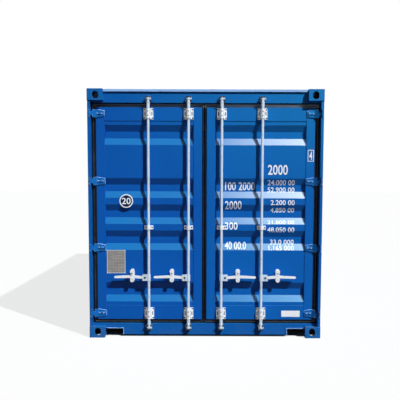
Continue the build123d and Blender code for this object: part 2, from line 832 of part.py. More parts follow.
def bar_sleeves(x):
    """Sleeves between the brackets and the keepers, each with a collar at its keeper's end."""
    jaw = cam_thick / 2 + cam_play + keeper_jaw + cam_sleeve_play
    ends = ((leaf_top - top_bracket_drop + bar_play, top_cam_z - jaw, -1),
            (leaf_low + low_bracket_rise - bar_play, low_cam_z + jaw, 1))
    sleeves = []
    for start, end, back in ends:
        low, high = sorted((start, end))
        sleeves.append(upright(Pos(x, bar_y) * Circle(cam_sleeve_radius), low, high))
        low, high = sorted((end, end + back * cam_collar_tall))
        sleeves.append(upright(Pos(x, bar_y) * Circle(cam_collar_radius), low, high))
    return sleeves


def locking_bar(x, hand):
    """Round bar with a cam at each end and a hub for its handle, on the right leaf."""
    bar = upright(Pos(x, bar_y) * Circle(bar_radius), low_cam_z, top_cam_z)
    for z in (low_cam_z, top_cam_z):
        bar += cam(x, z, hand)
    for sleeve in bar_sleeves(x):
        bar += sleeve
    pin_z = handle_axis_rise - hub_drop
    bar += upright(Pos(x, bar_y) * Circle(bar_radius + hub_wall), pin_z - hub_tall / 2, pin_z + hub_tall / 2)
    pin_x = x + handle_pin_reach
    reach = handle_thick / 2 + handle_play
    cheek = Pos(x + handle_pin_reach / 2, pin_z) * Rectangle(handle_pin_reach, hub_cheek_tall)
    cheek += Pos(pin_x, pin_z) * RectangleRounded(hub_cheek_wide, hub_cheek_tall, hub_cheek_round)
    for side in (-1, 1):
        y = handle_y + side * reach
        near, far = sorted((y, y + side * hub_cheek))
        bar += inwards(cheek, near, far)
    gap = inwards(Pos(pin_x, pin_z) * Rectangle(hub_cheek_wide + 2 * overrun, hub_tall),
                  handle_y - reach, handle_y + reach)
    bar -= gap - block(x, x + bar_radius + hub_wall, bar_y - hub_tall, bar_y + hub_tall, 0, height)
    pin = Pos(pin_x, pin_z) * Circle(hub_pin_radius)
    return bar + inwards(pin, handle_y - reach - hub_cheek, handle_y + reach + hub_cheek)


def handle(x):
    """Flat cranked handle on the hub pin, with a round boss where the retainer and catch hold it."""
    pin = (x + handle_pin_reach, handle_axis_rise - hub_drop)
    boss = (x + retainer_reach, handle_axis_rise)
    tip_radius = handle_tip_tall / 2
    tip = (x + handle_reach - tip_radius, handle_axis_rise - handle_tip_drop)
    blade = rounded_link(pin, handle_eye_radius, boss, handle_root_tall / 2)
    blade += rounded_link(boss, handle_root_tall / 2, tip, tip_radius)
    blade += Pos(*boss) * Circle(handle_boss_radius)
    blade -= Pos(*pin) * Circle(hub_pin_radius + hub_pin_play)
    return inwards(blade, handle_front_y, handle_front_y + handle_thick)


def catch(bar_x):
    """Turning catch, parked upright above the handle."""
    x = bar_x + retainer_reach
    pivot_z = handle_axis_rise + catch_pivot_rise
    head = (x, pivot_z + catch_head_rise)
    outline = rounded_link((x, pivot_z), catch_neck_radius, head, retainer_wide / 2)
    outline -= Pos(*head) * Circle(catch_hole_radius)
    outline -= Pos(x, pivot_z) * Circle(catch_pin_radius + hub_pin_play)
    y0 = door_y + catch_front_inset
    return inwards(outline, y0, y0 + catch_thick)


def container_pieces():
    """Pieces that stand still, by node name."""
    lugs = hinge_lugs()
    wall = side_wall()
    vent = ventilator(vent_from_middle)
    post = door_post()
    return {
        "upper_corner_castings": corner_castings(True),
        "lower_corner_castings": corner_castings(False),
        "door_posts": both_sides(post),
        "door_header": door_header(),
        "door_sill": door_sill(),
        "cam_keepers": cam_keepers(),
        "hinge_lugs": Compound(lugs + [other_side(lug) for lug in lugs]),
        "front_posts": both_sides(front_post()),
        "front_header": front_header(),
        "front_sill": front_sill(),
        "front_wall": front_wall(),
        "top_side_rails": both_sides(top_side_rail()),
        "bottom_side_rails": both_sides(bottom_side_rail()),
        "right_side_wall": wall,
        "left_side_wall": other_side(wall),
        "roof_panel": roof_panel(),
        "roof_corner_plates": roof_corner_plates(),
        "cross_members": cross_members(),
        "fork_pockets": Compound([fork_pocket(side * pocket_spacing / 2) for side in (-1, 1)]),
        "floor_boards": floor_boards(),
        "ventilators": Compound([vent, other_end(other_side(vent))]),
    }


def door_pieces(name, meet, bars, cam_hand):
    """Pieces of one leaf as they lie on the right, by node name."""
    pieces = {
        name + "_door_frame": door_frame(meet),
        name + "_door_panel": door_panel(meet),
        name + "_door_gasket": door_gasket(meet),
        name + "_hinge_blades": hinge_blades(),
        name + "_bar_brackets": bar_brackets(bars),
        name + "_handle_retainers": Compound([handle_retainer(x) for x in bars]),
    }
    for place, x in zip(("outer", "inner"), bars):
        pieces[name + "_" + place + "_locking_bar"] = locking_bar(x, cam_hand)
        pieces[name + "_" + place + "_handle"] = handle(x)
        pieces[name + "_" + place + "_catch"] = catch(x)
    return pieces


def all_pieces():
    """The whole container by node name."""
    pieces = container_pieces()
    pieces.update(door_pieces("right", right_leaf_meet, right_bars, 1))
    for name, shape in door_pieces("left", left_leaf_meet, left_bars, -1).items():
        pieces[name] = other_side(shape)
    return pieces


os.makedirs("parts", exist_ok=True)
for node, shape in all_pieces().items():
    export_step(shape, "parts/" + node + ".step")
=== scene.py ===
import json
import math

import bmesh
import bpy
from mathutils import Matrix, Vector


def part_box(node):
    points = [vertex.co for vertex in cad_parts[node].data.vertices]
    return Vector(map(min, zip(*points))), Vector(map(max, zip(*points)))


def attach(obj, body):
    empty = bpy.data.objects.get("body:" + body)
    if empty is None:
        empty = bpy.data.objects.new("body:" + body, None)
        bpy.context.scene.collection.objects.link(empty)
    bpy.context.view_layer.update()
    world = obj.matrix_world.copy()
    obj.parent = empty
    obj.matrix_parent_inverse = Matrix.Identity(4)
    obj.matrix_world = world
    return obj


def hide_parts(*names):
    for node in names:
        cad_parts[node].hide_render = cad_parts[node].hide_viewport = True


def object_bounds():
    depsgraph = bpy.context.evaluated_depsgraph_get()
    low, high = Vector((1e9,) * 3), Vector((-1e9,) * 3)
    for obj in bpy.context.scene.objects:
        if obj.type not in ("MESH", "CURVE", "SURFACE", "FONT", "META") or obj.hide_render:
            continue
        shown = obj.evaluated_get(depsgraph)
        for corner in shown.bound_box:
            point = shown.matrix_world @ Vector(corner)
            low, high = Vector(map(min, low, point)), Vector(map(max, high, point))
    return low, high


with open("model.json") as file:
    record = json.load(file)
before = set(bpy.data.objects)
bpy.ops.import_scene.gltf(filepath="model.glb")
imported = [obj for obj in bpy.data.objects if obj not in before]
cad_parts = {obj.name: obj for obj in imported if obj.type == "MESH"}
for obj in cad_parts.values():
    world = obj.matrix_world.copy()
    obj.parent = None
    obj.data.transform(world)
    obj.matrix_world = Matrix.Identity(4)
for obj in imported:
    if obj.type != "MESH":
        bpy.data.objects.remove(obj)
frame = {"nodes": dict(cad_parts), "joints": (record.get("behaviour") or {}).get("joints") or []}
frame_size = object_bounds()
nodes = frame["nodes"]
bpy.ops.object.select_all(action="DESELECT")


# The view: square on to the doors, from the eye height of someone who stands, tipped down
# a little, and cropped so that the box sits in the middle of a square picture.
face_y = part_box("lower_corner_castings")[0].y
quarter_turn = math.radians(90)
picture_px = 400
film_mm = 36
focal_px = 674.4
axis_across_px = 209.3
axis_down_px = 241.4
view_back = 7.0
view_height = 1.669
view_aside = 0.040
view_tilt = math.radians(5.26)
view_roll = math.radians(-0.192)
bpy.ops.object.camera_add(location=(view_aside, face_y - view_back, view_height),
                          rotation=(quarter_turn - view_tilt, view_roll, 0))
camera = bpy.context.object
camera.data.sensor_width = film_mm
camera.data.lens = focal_px / picture_px * film_mm
camera.data.shift_x = (picture_px / 2 - axis_across_px) / picture_px
camera.data.shift_y = (axis_down_px - picture_px / 2) / picture_px
bpy.context.scene.camera = camera
bpy.context.scene.view_settings.view_transform = "Standard"


# Daylight: one nearly hard lamp from the right and above, a bright cloud that only shows in
# the gloss of paint, and an even sky that fills the shade. The backdrop is plain white.
def add_node(tree, kind, feeds=None, **settings):
    """Add a node, set its options and feed its sockets with values or other nodes' outputs."""
    made = tree.nodes.new(kind)
    for key, value in settings.items():
        setattr(made, key, value)
    for socket, value in (feeds or {}).items():
        if isinstance(value, bpy.types.NodeSocket):
            tree.links.new(value, made.inputs[socket])
        else:
            made.inputs[socket].default_value = value
    return made


def worked(tree, operation, first, second):
    """One step of arithmetic on two masks or numbers."""
    return add_node(tree, "ShaderNodeMath", {0: first, 1: second}, operation=operation).outputs[0]


def seen_directly(tree):
    """1 for rays from the camera, from a gloss or through glass, and 0 for the light that fills."""
    path = add_node(tree, "ShaderNodeLightPath").outputs
    either = worked(tree, "MAXIMUM", path["Is Camera Ray"], path["Is Glossy Ray"])
    return worked(tree, "MAXIMUM", either, path["Is Transmission Ray"])


def lamp_from(direction, strength, spread):
    """A far lamp that shines from a direction."""
    bpy.ops.object.light_add(type="SUN", location=direction * view_back)
    lamp = bpy.context.object
    lamp.rotation_euler = (-direction).to_track_quat("-Z", "Y").to_euler()
    lamp.data.energy = strength
    lamp.data.angle = math.radians(spread)
    return lamp


sun_from = Vector((0.86, -1.0, 1.3))
sun_strength = 4.45
sun_spread = 1.0
lamp_from(sun_from, sun_strength, sun_spread)
cloud_from = Vector((0.30, -0.58, 0.76))
cloud_strength = 6.0
cloud_spread = 8.0
cloud = lamp_from(cloud_from, cloud_strength, cloud_spread)
cloud.data.color = (0.78, 0.91, 1.0)
cloud.visible_diffuse = False
sky_colour = (0.62, 0.84, 1.0, 1)
sky_strength = 0.085
white = (1, 1, 1, 1)

world = bpy.data.worlds.new("daylight")
bpy.context.scene.world = world
world.use_nodes = True
sky = world.node_tree
fill = sky.nodes["Background"]
fill.inputs["Color"].default_value = sky_colour
fill.inputs["Strength"].default_value = sky_strength
backdrop = add_node(sky, "ShaderNodeBackground", {"Color": white, "Strength": 1.0})
both = add_node(sky, "ShaderNodeMixShader", {0: seen_directly(sky), 1: fill.outputs[0],
                                             2: backdrop.outputs[0]})
sky.links.new(both.outputs[0], sky.nodes["World Output"].inputs["Surface"])


# The floor is one pale sheet that keeps the shadow and fades into the white behind it. Its
# glow stops under the box, which stays dark.
def mixed(tree, share, under, over):
    """Colour between two, by a mask."""
    return add_node(tree, "ShaderNodeMix", {0: share, 6: under, 7: over}, data_type="RGBA").outputs[2]


def scaled(tree, value, factor):
    """A mask made stronger or weaker."""
    return worked(tree, "MULTIPLY", value, factor)


def vector_step(tree, operation, *vectors):
    """One step of arithmetic on vectors, which gives a vector, or a number for a dot product."""
    made = add_node(tree, "ShaderNodeVectorMath", dict(enumerate(vectors)), operation=operation)
    return made.outputs["Value" if operation == "DOT_PRODUCT" else "Vector"]


def on_piece(tree):
    """Places on a piece, in its own space."""
    return add_node(tree, "ShaderNodeTexCoord").outputs["Object"]


def axes(tree, vector):
    """The three numbers of a vector, by the names X, Y and Z."""
    return add_node(tree, "ShaderNodeSeparateXYZ", {0: vector}).outputs


floor_size = 160
floor_drop = 0.0006
floor_under_margin = 0.09
floor_pale = (0.86, 0.86, 0.86, 1)
floor_filling = (0.060, 0.059, 0.057, 1)
floor_glow_share = 0.80
bpy.ops.mesh.primitive_plane_add(size=floor_size, location=(0, 0, -floor_drop))
floor = bpy.context.object
floor.name = "floor"
floor_paint = bpy.data.materials.new("pale_floor")
floor_paint.use_nodes = True
tree = floor_paint.node_tree
seen = seen_directly(tree)
matt = add_node(tree, "ShaderNodeBsdfDiffuse", {"Color": mixed(tree, seen, floor_filling, floor_pale)})
glow = add_node(tree, "ShaderNodeEmission", {"Color": white, "Strength": 1.0})
beside = vector_step(tree, "ABSOLUTE", on_piece(tree))
inside = axes(tree, vector_step(tree, "SUBTRACT", frame_size[1], beside))
nearest = worked(tree, "MINIMUM", inside["X"], inside["Y"])
open_ground = worked(tree, "LESS_THAN", nearest, floor_under_margin)
share = worked(tree, "MULTIPLY", seen, scaled(tree, open_ground, floor_glow_share))
lit = add_node(tree, "ShaderNodeMixShader", {0: share, 1: matt.outputs[0], 2: glow.outputs[0]})
tree.links.new(lit.outputs[0], tree.nodes["Material Output"].inputs["Surface"])
floor.data.materials.append(floor_paint)


# Corner castings: cast steel, ground flat outside and sprayed with the frame. The paint is
# a thick coat with a faint orange peel that pulls back from the edges.
def ranged(tree, value, start, end, give=(0.0, 1.0)):
    """A value that runs from start to end, stretched to run between the two numbers given."""
    return add_node(tree, "ShaderNodeMapRange", {"Value": value, "From Min": start, "From Max": end,
                                                 "To Min": give[0], "To Max": give[1]}).outputs[0]


def noise(tree, vector, **settings):
    """Cloudy noise from 0 to 1."""
    return add_node(tree, "ShaderNodeTexNoise", {"Vector": vector, **settings}).outputs["Fac"]


def stretched(tree, vector, scale):
    """Places drawn out by a factor along each axis."""
    return add_node(tree, "ShaderNodeMapping", {"Vector": vector, "Scale": scale}).outputs[0]


def new_group(name, inputs, outputs):
    """An empty shader group with its sockets, and the values given to it."""
    group = bpy.data.node_groups.new(name, "ShaderNodeTree")
    for label, kind, value in inputs:
        group.interface.new_socket(name=label, in_out="INPUT", socket_type=kind).default_value = value
    for label, kind in outputs:
        group.interface.new_socket(name=label, in_out="OUTPUT", socket_type=kind)
    return group, group.nodes.new("NodeGroupInput").outputs


def put_out(group, **results):
    """Lead the results to the group's outputs."""
    end = group.nodes.new("NodeGroupOutput")
    for label, result in results.items():
        group.links.new(result, end.inputs[label])
    return group


def rounded_edge_group():
    """Softened edges, and a mask where the paint is rubbed along them."""
    group, given = new_group(
        "Rounded_Edge",
        [("Radius", "NodeSocketFloat", 0.003), ("Rub Scale", "NodeSocketFloat", 30.0)],
        [("Mask", "NodeSocketFloat"), ("Normal", "NodeSocketVector")])
    soft = add_node(group, "ShaderNodeBevel", {"Radius": given["Radius"]}, samples=4).outputs[0]
    plain = add_node(group, "ShaderNodeNewGeometry").outputs["True Normal"]
    turned = ranged(group, vector_step(group, "DOT_PRODUCT", soft, plain), start=0.995, end=0.80)
    place = on_piece(group)
    rub = noise(group, place, Scale=given["Rub Scale"], Detail=4.0)
    broken = ranged(group, rub, start=0.45, end=0.62)
    return put_out(group, Mask=worked(group, "MULTIPLY", turned, broken), Normal=soft)


def mottle_group():
    """Large soft patches and faint upright streaks, from 0 to 1, and a fine coat texture."""
    group, given = new_group(
        "Mottle",
        [("Patch Scale", "NodeSocketFloat", 1.6), ("Grain Scale", "NodeSocketFloat", 420.0)],
        [("Patch", "NodeSocketFloat"), ("Streak", "NodeSocketFloat"), ("Grain", "NodeSocketFloat")])
    place = on_piece(group)
    patch = noise(group, place, Scale=given["Patch Scale"], Detail=5.0, Roughness=0.55)
    drawn_down = stretched(group, place, (16.0, 16.0, 0.7))
    streak = noise(group, drawn_down, Scale=given["Patch Scale"], Detail=6.0)
    grain = noise(group, place, Scale=given["Grain Scale"], Detail=2.0)
    return put_out(group, Patch=patch, Streak=ranged(group, streak, start=0.52, end=0.78), Grain=grain)


def settled_dust_group():
    """Dust on what faces up, and splashed dirt near the ground."""
    group, given = new_group("Settled_Dust", [("Splash Height", "NodeSocketFloat", 0.35)],
                             [("Mask", "NodeSocketFloat")])
    place = add_node(group, "ShaderNodeTexCoord").outputs
    facing = axes(group, place["Normal"])
    upward = ranged(group, facing["Z"], start=0.75, end=1.0, give=(0.0, 0.8))
    where = axes(group, place["Object"])
    splash = ranged(group, where["Z"], start=given["Splash Height"], end=0.0, give=(0.0, 0.6))
    most = worked(group, "MAXIMUM", upward, splash)
    dust_cloud = noise(group, place["Object"], Scale=7.0, Detail=7.0, Roughness=0.65)
    broken = ranged(group, dust_cloud, start=0.42, end=0.75)
    return put_out(group, Mask=worked(group, "MULTIPLY", most, broken))


def painted_sunlight_group():
    """Masks for painted light: painted sunlight on slopes that face up, a painted reflection along the roof
    line and a painted highlight high on the right.
    """
    group, given = new_group(
        "Painted_Sunlight",
        [("Crown Height", "NodeSocketFloat", 2.45)],
        [("Slope", "NodeSocketFloat"), ("Crown", "NodeSocketFloat"), ("Corner", "NodeSocketFloat")])
    place = add_node(group, "ShaderNodeTexCoord").outputs
    facing = axes(group, place["Normal"])
    slope = ranged(group, facing["Z"], start=0.2, end=0.45)
    flat = ranged(group, facing["Z"], start=0.25, end=0.55)
    where = axes(group, place["Object"])
    high = worked(group, "GREATER_THAN", where["Z"], given["Crown Height"])
    rightwards = ranged(group, where["X"], start=-0.9, end=1.2)
    upwards = ranged(group, where["Z"], start=1.4, end=2.5)
    return put_out(group, Slope=slope, Crown=worked(group, "MULTIPLY", flat, high),
                   Corner=worked(group, "MULTIPLY", rightwards, upwards))


rounded_edge = rounded_edge_group()
mottle = mottle_group()
settled_dust = settled_dust_group()
painted_sunlight = painted_sunlight_group()
dust_colour = (0.30, 0.27, 0.23, 1)
# Painted light: paler blue on up-facing slopes as painted sunlight, a pale crown as a painted reflection and
# a lighter upper right as a painted highlight.
slope_light_blue = (0.004, 0.150, 0.430, 1)
crown_reflection_blue = (0.10, 0.29, 0.56, 1)
corner_highlight_blue = (0.008, 0.195, 0.53, 1)
paint_gloss = 0.10
streak_share = 0.25
rough_less = 0.05
rough_more = 0.07
even_sockets = {"gloss": "Specular IOR Level", "metal": "Metallic", "rough": "Roughness"}


def start_material(name, **even):
    """A new material, its node tree and its main shader, with what is the same all over it."""
    material = bpy.data.materials.new(name)
    material.use_nodes = True
    shader = material.node_tree.nodes["Principled BSDF"]
    for key, value in even.items():
        shader.inputs[even_sockets[key]].default_value = value
    return material, material.node_tree, shader


def relief(tree, shader, height, **settings):
    """Fine hills and hollows of a finish."""
    bump = add_node(tree, "ShaderNodeBump", {"Height": height, **settings})
    tree.links.new(bump.outputs[0], shader.inputs["Normal"])
    return bump


def sprayed_paint(name, colour, faded, rubbed, rub=0.5, dust=0.35, rough=0.30, peel=0.10, edge=0.003,
                  splash=0.18, painted_light=True, cover=None):
    """Paint on steel: patches, streaks, rubbed edges and dust, with painted light unless turned off. cover
    paints the inner faces, and on some paints painted light as well.
    """
    material, tree, shader = start_material(name, gloss=paint_gloss)
    patches = add_node(tree, "ShaderNodeGroup", node_tree=mottle).outputs
    edges = add_node(tree, "ShaderNodeGroup", {"Radius": edge}, node_tree=rounded_edge).outputs
    dusty = add_node(tree, "ShaderNodeGroup", {"Splash Height": splash}, node_tree=settled_dust).outputs
    tone = mixed(tree, patches["Patch"], colour, faded)
    tone = mixed(tree, scaled(tree, patches["Streak"], streak_share), tone, faded)
    tone = mixed(tree, scaled(tree, edges["Mask"], rub), tone, rubbed)
    # Painted light on up-facing slopes, on the crown and high on the right.
    if painted_light:
        light_masks = add_node(tree, "ShaderNodeGroup", node_tree=painted_sunlight).outputs
        tone = mixed(tree, light_masks["Corner"], tone, corner_highlight_blue)
        tone = mixed(tree, light_masks["Slope"], tone, slope_light_blue)
        tone = mixed(tree, light_masks["Crown"], tone, crown_reflection_blue)
    if cover:
        tone = cover(tree, tone)
    tone = mixed(tree, scaled(tree, dusty["Mask"], dust), tone, dust_colour)
    tree.links.new(tone, shader.inputs["Base Color"])
    dull = ranged(tree, patches["Patch"], start=0.0, end=1.0, give=(rough - rough_less, rough + rough_more))
    tree.links.new(dull, shader.inputs["Roughness"])
    relief(tree, shader, patches["Grain"], Strength=peel, Distance=0.002, Normal=edges["Normal"])
    return material


def dress(names, material):
    """Give CAD nodes a finish."""
    for name in names:
        for holder in nodes[name].material_slots:
            holder.material = material


casting_wide = 0.162
casting_deep = 0.178
casting_tall = 0.118


def casting_inside_group():
    """1 deeper than the outer faces of the castings, which lie alike at every corner of the box."""
    group, given = new_group("Casting_Inside", [("Depth", "NodeSocketFloat", 0.007)],
                             [("Mask", "NodeSocketFloat")])
    outer = Vector((frame_size[1].x, -face_y, frame_size[1].z / 2))
    half = Vector((casting_wide, casting_deep, casting_tall)) / 2
    place = on_piece(group)
    centred = vector_step(group, "SUBTRACT", place, (0, 0, outer.z))
    folded = vector_step(group, "ABSOLUTE", centred)
    local = vector_step(group, "SUBTRACT", folded, outer - half)
    away = vector_step(group, "ABSOLUTE", local)
    deep = axes(group, vector_step(group, "SUBTRACT", half, away))
    flat = worked(group, "MINIMUM", deep["X"], deep["Y"])
    least = worked(group, "MINIMUM", flat, deep["Z"])
    return put_out(group, Mask=worked(group, "GREATER_THAN", least, given["Depth"]))


casting_inside = casting_inside_group()
casting_inside_shade = (0.003, 0.008, 0.022, 1)


def shade_inside(tree, tone):
    """Cover of painted shade on the inner walls of a casting."""
    hollow = add_node(tree, "ShaderNodeGroup", node_tree=casting_inside).outputs
    return mixed(tree, hollow["Mask"], tone, casting_inside_shade)


casting_blue = (0.003, 0.112, 0.400, 1)
casting_faded = (0.006, 0.135, 0.440, 1)
rub_pale = (0.10, 0.30, 0.62, 1)
# The inner walls of the castings are painted dark as painted shade.
casting_paint = sprayed_paint("casting_paint", casting_blue, casting_faded, rub_pale, rub=0.9, peel=0.5,
                              rough=0.40, edge=0.006, cover=shade_inside)
dress(["upper_corner_castings", "lower_corner_castings"], casting_paint)


# Frame of posts, header, sill and rails: tube and folded steel, welded between the castings
# and sprayed in the same blue.
frame_blue = (0.0015, 0.097, 0.390, 1)
frame_faded = (0.0025, 0.112, 0.425, 1)
frame_paint = sprayed_paint("frame_paint", frame_blue, frame_faded, rub_pale, dust=0.12)
dress(["door_posts", "door_header", "door_sill", "front_posts", "front_header",
       "front_sill", "top_side_rails", "bottom_side_rails"], frame_paint)


# Walls and roof: thin steel sheet, pressed into folds and welded to the frame, blue outside
# and pale grey inside. The roof is dustier, and its top is painted paler as a painted reflection.
inner_grey = (0.50, 0.53, 0.53, 1)
sideways = (1.0, 0.0, 0.0)
lengthways = (0.0, 1.0, 0.0)
upright = (0.0, 0.0, 1.0)


def inner_face_group():
    """1 on the side of a sheet that looks into the box."""
    group, given = new_group("Inner_Face", [("Across", "NodeSocketVector", sideways)],
                             [("Mask", "NodeSocketFloat")])
    place = add_node(group, "ShaderNodeTexCoord").outputs
    out = vector_step(group, "MULTIPLY", place["Object"], given["Across"])
    side = vector_step(group, "DOT_PRODUCT", out, place["Normal"])
    return put_out(group, Mask=worked(group, "LESS_THAN", side, 0.0))


inner_face = inner_face_group()


def grey_inside(across):
    """Cover that paints the faces which look into the box, for sheets that stand across a direction."""
    def cover(tree, tone):
        side = add_node(tree, "ShaderNodeGroup", {"Across": across}, node_tree=inner_face).outputs
        return mixed(tree, side["Mask"], tone, inner_grey)
    return cover


side_paint = sprayed_paint("side_wall_paint", frame_blue, frame_faded, rub_pale, cover=grey_inside(sideways))
dress(["right_side_wall", "left_side_wall"], side_paint)
end_paint = sprayed_paint("front_wall_paint", frame_blue, frame_faded, rub_pale,
                          cover=grey_inside(lengthways))
dress(["front_wall"], end_paint)
roof_paint = sprayed_paint("roof_paint", frame_blue, frame_faded, rub_pale, rough=0.50, dust=0.5,
                           cover=grey_inside(upright))
dress(["roof_panel", "roof_corner_plates"], roof_paint)


# Door leaves: tube stiles and channel members with a pressed panel welded in, blue outside
# and grey inside. The right leaf is painted lighter as painted sunlight, and its slopes carry a painted
# glint.
door_blue = (0.0015, 0.087, 0.405, 1)
door_faded = (0.0025, 0.101, 0.440, 1)
door_inside = grey_inside(lengthways)
door_paint = sprayed_paint("door_paint", door_blue, door_faded, rub_pale, rub=0.6, cover=door_inside)
glint_white = (0.58, 0.71, 0.90, 1)
glint_sky = (0.19, 0.70, 0.98, 1)


def glint_leaf(tree, tone):
    """Cover of painted glint on the slopes of the leaf that meets the sun, palest far out and high up."""
    where = axes(tree, on_piece(tree))
    outwards = ranged(tree, where["X"], start=0.0, end=1.05, give=(0.14, 0.85))
    upwards = ranged(tree, where["Z"], start=0.4, end=1.5, give=(0.30, 1.0))
    light_masks = add_node(tree, "ShaderNodeGroup", node_tree=painted_sunlight).outputs
    glint_mask = worked(tree, "MULTIPLY", worked(tree, "MULTIPLY", outwards, upwards), light_masks["Slope"])
    glint_tone = mixed(tree, upwards, glint_sky, glint_white)
    return door_inside(tree, mixed(tree, glint_mask, tone, glint_tone))


# A lighter, lit copy of the door blue: painted sunlight on the right leaf.
lit_door_blue = (0.0020, 0.104, 0.435, 1)
lit_door_faded = (0.0035, 0.122, 0.470, 1)
lit_door_paint = sprayed_paint("right_door_paint", lit_door_blue, lit_door_faded, rub_pale, rub=0.6, cover=glint_leaf)
leaf_paint = {"left": door_paint, "right": lit_door_paint}
for side in ("left", "right"):
    dress([side + "_door_frame", side + "_door_panel"], leaf_paint[side])


# Underneath: folded channels and fork pockets, welded between the rails and brushed with a
# dark tar coating, thick and uneven.
tar_black = (0.012, 0.012, 0.014, 1)
tar_grey = (0.035, 0.034, 0.034, 1)
under_coat = sprayed_paint("under_coat", tar_black, tar_grey, tar_grey, rub=0.2, dust=0.6, rough=0.6,
                           peel=0.9, splash=0.2)
dress(["cross_members", "fork_pockets"], under_coat)


# Floor: sheets of sealed plywood, laid on the cross members with their grain along the box.
# Each sheet differs a little in tone.
ply_dark = (0.17, 0.075, 0.032, 1)
ply_light = (0.34, 0.18, 0.085, 1)
ply_sheet_share = 0.35
ply_seal, tree, shader = start_material("floor_plywood", rough=0.55)
place = on_piece(tree)
fibre = noise(tree, stretched(tree, place, (22.0, 1.1, 22.0)), Scale=3.0, Detail=8.0, Roughness=0.6,
              Distortion=0.6)
sheets = add_node(tree, "ShaderNodeTexVoronoi", {"Vector": stretched(tree, place, (0.9, 0.9, 0.9)),
                                                 "Scale": 1.0})
grain_tone = mixed(tree, fibre, ply_dark, ply_light)
sheet_tone = mixed(tree, scaled(tree, sheets.outputs["Distance"], ply_sheet_share), grain_tone, ply_dark)
tree.links.new(sheet_tone, shader.inputs["Base Color"])
relief(tree, shader, fibre, Strength=0.25, Distance=0.002)
dress(["floor_boards"], ply_seal)


# Ventilators: moulded plastic covers over the vent holes, riveted to the side walls and
# sprayed over with them.
vent_paint = sprayed_paint("vent_plastic", casting_blue, casting_faded, rub_pale, rub=0.2, rough=0.5)
dress(["ventilators"], vent_paint)


# Door gear: bars, cams, brackets, handles and catches, forged and pressed steel, dipped in
# zinc, dull and lightly spangled. The keepers are painted dark as painted shade, with bright edges that are
# wear and painted highlight.
zinc_pale = (0.60, 0.71, 0.83, 1)
zinc_grey = (0.42, 0.51, 0.62, 1)
zinc_dark = (0.14, 0.145, 0.15, 1)
zinc_crevice_shade = (0.010, 0.012, 0.018, 1)
zinc_edge = 0.002
flake_share = 0.45
flake_less_rough = 0.06
flake_more_rough = 0.10


def zinc(name, pale, grey, metal=0.30, rough=0.34, stain=0.55):
    """Hot-dip zinc: small crystal flakes of two greys, stained in patches, with painted shade in the
    corners.
    """
    material, tree, shader = start_material(name, metal=metal)
    place = on_piece(tree)
    flakes = add_node(tree, "ShaderNodeTexVoronoi", {"Vector": place, "Scale": 130.0})
    flake = axes(tree, flakes.outputs["Color"])
    tone = mixed(tree, scaled(tree, flake["X"], flake_share), pale, grey)
    patch = noise(tree, place, Scale=14.0, Detail=6.0, Roughness=0.6)
    dirty = ranged(tree, patch, start=0.55, end=0.85)
    tone = mixed(tree, scaled(tree, dirty, stain), tone, zinc_dark)
    # Painted shade: darker where corners and crevices are closed in.
    corner = add_node(tree, "ShaderNodeAmbientOcclusion", {"Distance": 0.03}, samples=4, only_local=True)
    crevice = ranged(tree, corner.outputs["AO"], start=0.50, end=0.20, give=(0.0, 0.85))
    tree.links.new(mixed(tree, crevice, tone, zinc_crevice_shade), shader.inputs["Base Color"])
    dull = ranged(tree, flake["Y"], start=0.0, end=1.0,
                  give=(rough - flake_less_rough, rough + flake_more_rough))
    tree.links.new(dull, shader.inputs["Roughness"])
    edges = add_node(tree, "ShaderNodeGroup", {"Radius": zinc_edge}, node_tree=rounded_edge).outputs
    relief(tree, shader, patch, Strength=0.15, Distance=0.002, Normal=edges["Normal"])
    return material


dip_pale = (0.84, 0.86, 0.88, 1)
dip_grey = (0.64, 0.68, 0.72, 1)
bar_zinc = zinc("bar_zinc", zinc_pale, zinc_grey)
zinc_dip = zinc("galvanised_steel", dip_pale, dip_grey, stain=0.4)
keeper_shade = (0.030, 0.050, 0.095, 1)
keeper_shade_faded = (0.060, 0.090, 0.150, 1)
keeper_worn_highlight = (0.78, 0.83, 0.88, 1)
# Painted shade on the keepers, with bright rubbed edges as wear and painted highlight.
keeper_shaded_steel = sprayed_paint("keeper_shaded_steel", keeper_shade, keeper_shade_faded, keeper_worn_highlight, rub=1.0, rough=0.4,
                             edge=0.004, painted_light=False)
dress(["cam_keepers"], keeper_shaded_steel)
for side in ("left", "right"):
    dress([side + "_bar_brackets", side + "_handle_retainers"], zinc_dip)
    for place_on_leaf in ("outer", "inner"):
        bar = side + "_" + place_on_leaf
        dress([bar + "_locking_bar"], bar_zinc)
        dress([bar + "_handle", bar + "_catch"], zinc_dip)


# Door seals: black rubber, extruded with a lip towards the frame and a groove at the leaf,
# mitred at the corners and pressed on round the edge of each leaf. The top edge is painted pale grey, most
# on the right, as dust and painted highlight.
rubber_black = (0.006, 0.008, 0.015, 1)
rubber_worn = (0.028, 0.030, 0.040, 1)
rubber_dust_and_highlight = (0.36, 0.37, 0.40, 1)
pale_edge_deep = 0.004
leaf_top_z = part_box("left_door_frame")[1].z
lip_shares = ((0.0, 0.0), (1.0, 0.0), (1.0, 0.45), (0.97, 0.85), (0.86, 1.0), (0.62, 1.0),
              (0.50, 0.82), (0.42, 0.45), (0.16, 0.38), (0.0, 0.52))
lip_round = 0.0015


def clear_selection():
    """Nothing selected, in object mode."""
    bpy.ops.object.select_all(action="DESELECT")


def named(piece, name):
    """Give a piece and its mesh their name."""
    piece.name = name
    piece.data.name = name
    return piece


def begin(name):
    """Name the primitive just added and open it for editing, with its place in its mesh."""
    piece = named(bpy.context.object, name)
    bpy.ops.object.transform_apply(location=True, rotation=True, scale=True)
    bpy.ops.object.mode_set(mode="EDIT")
    return piece


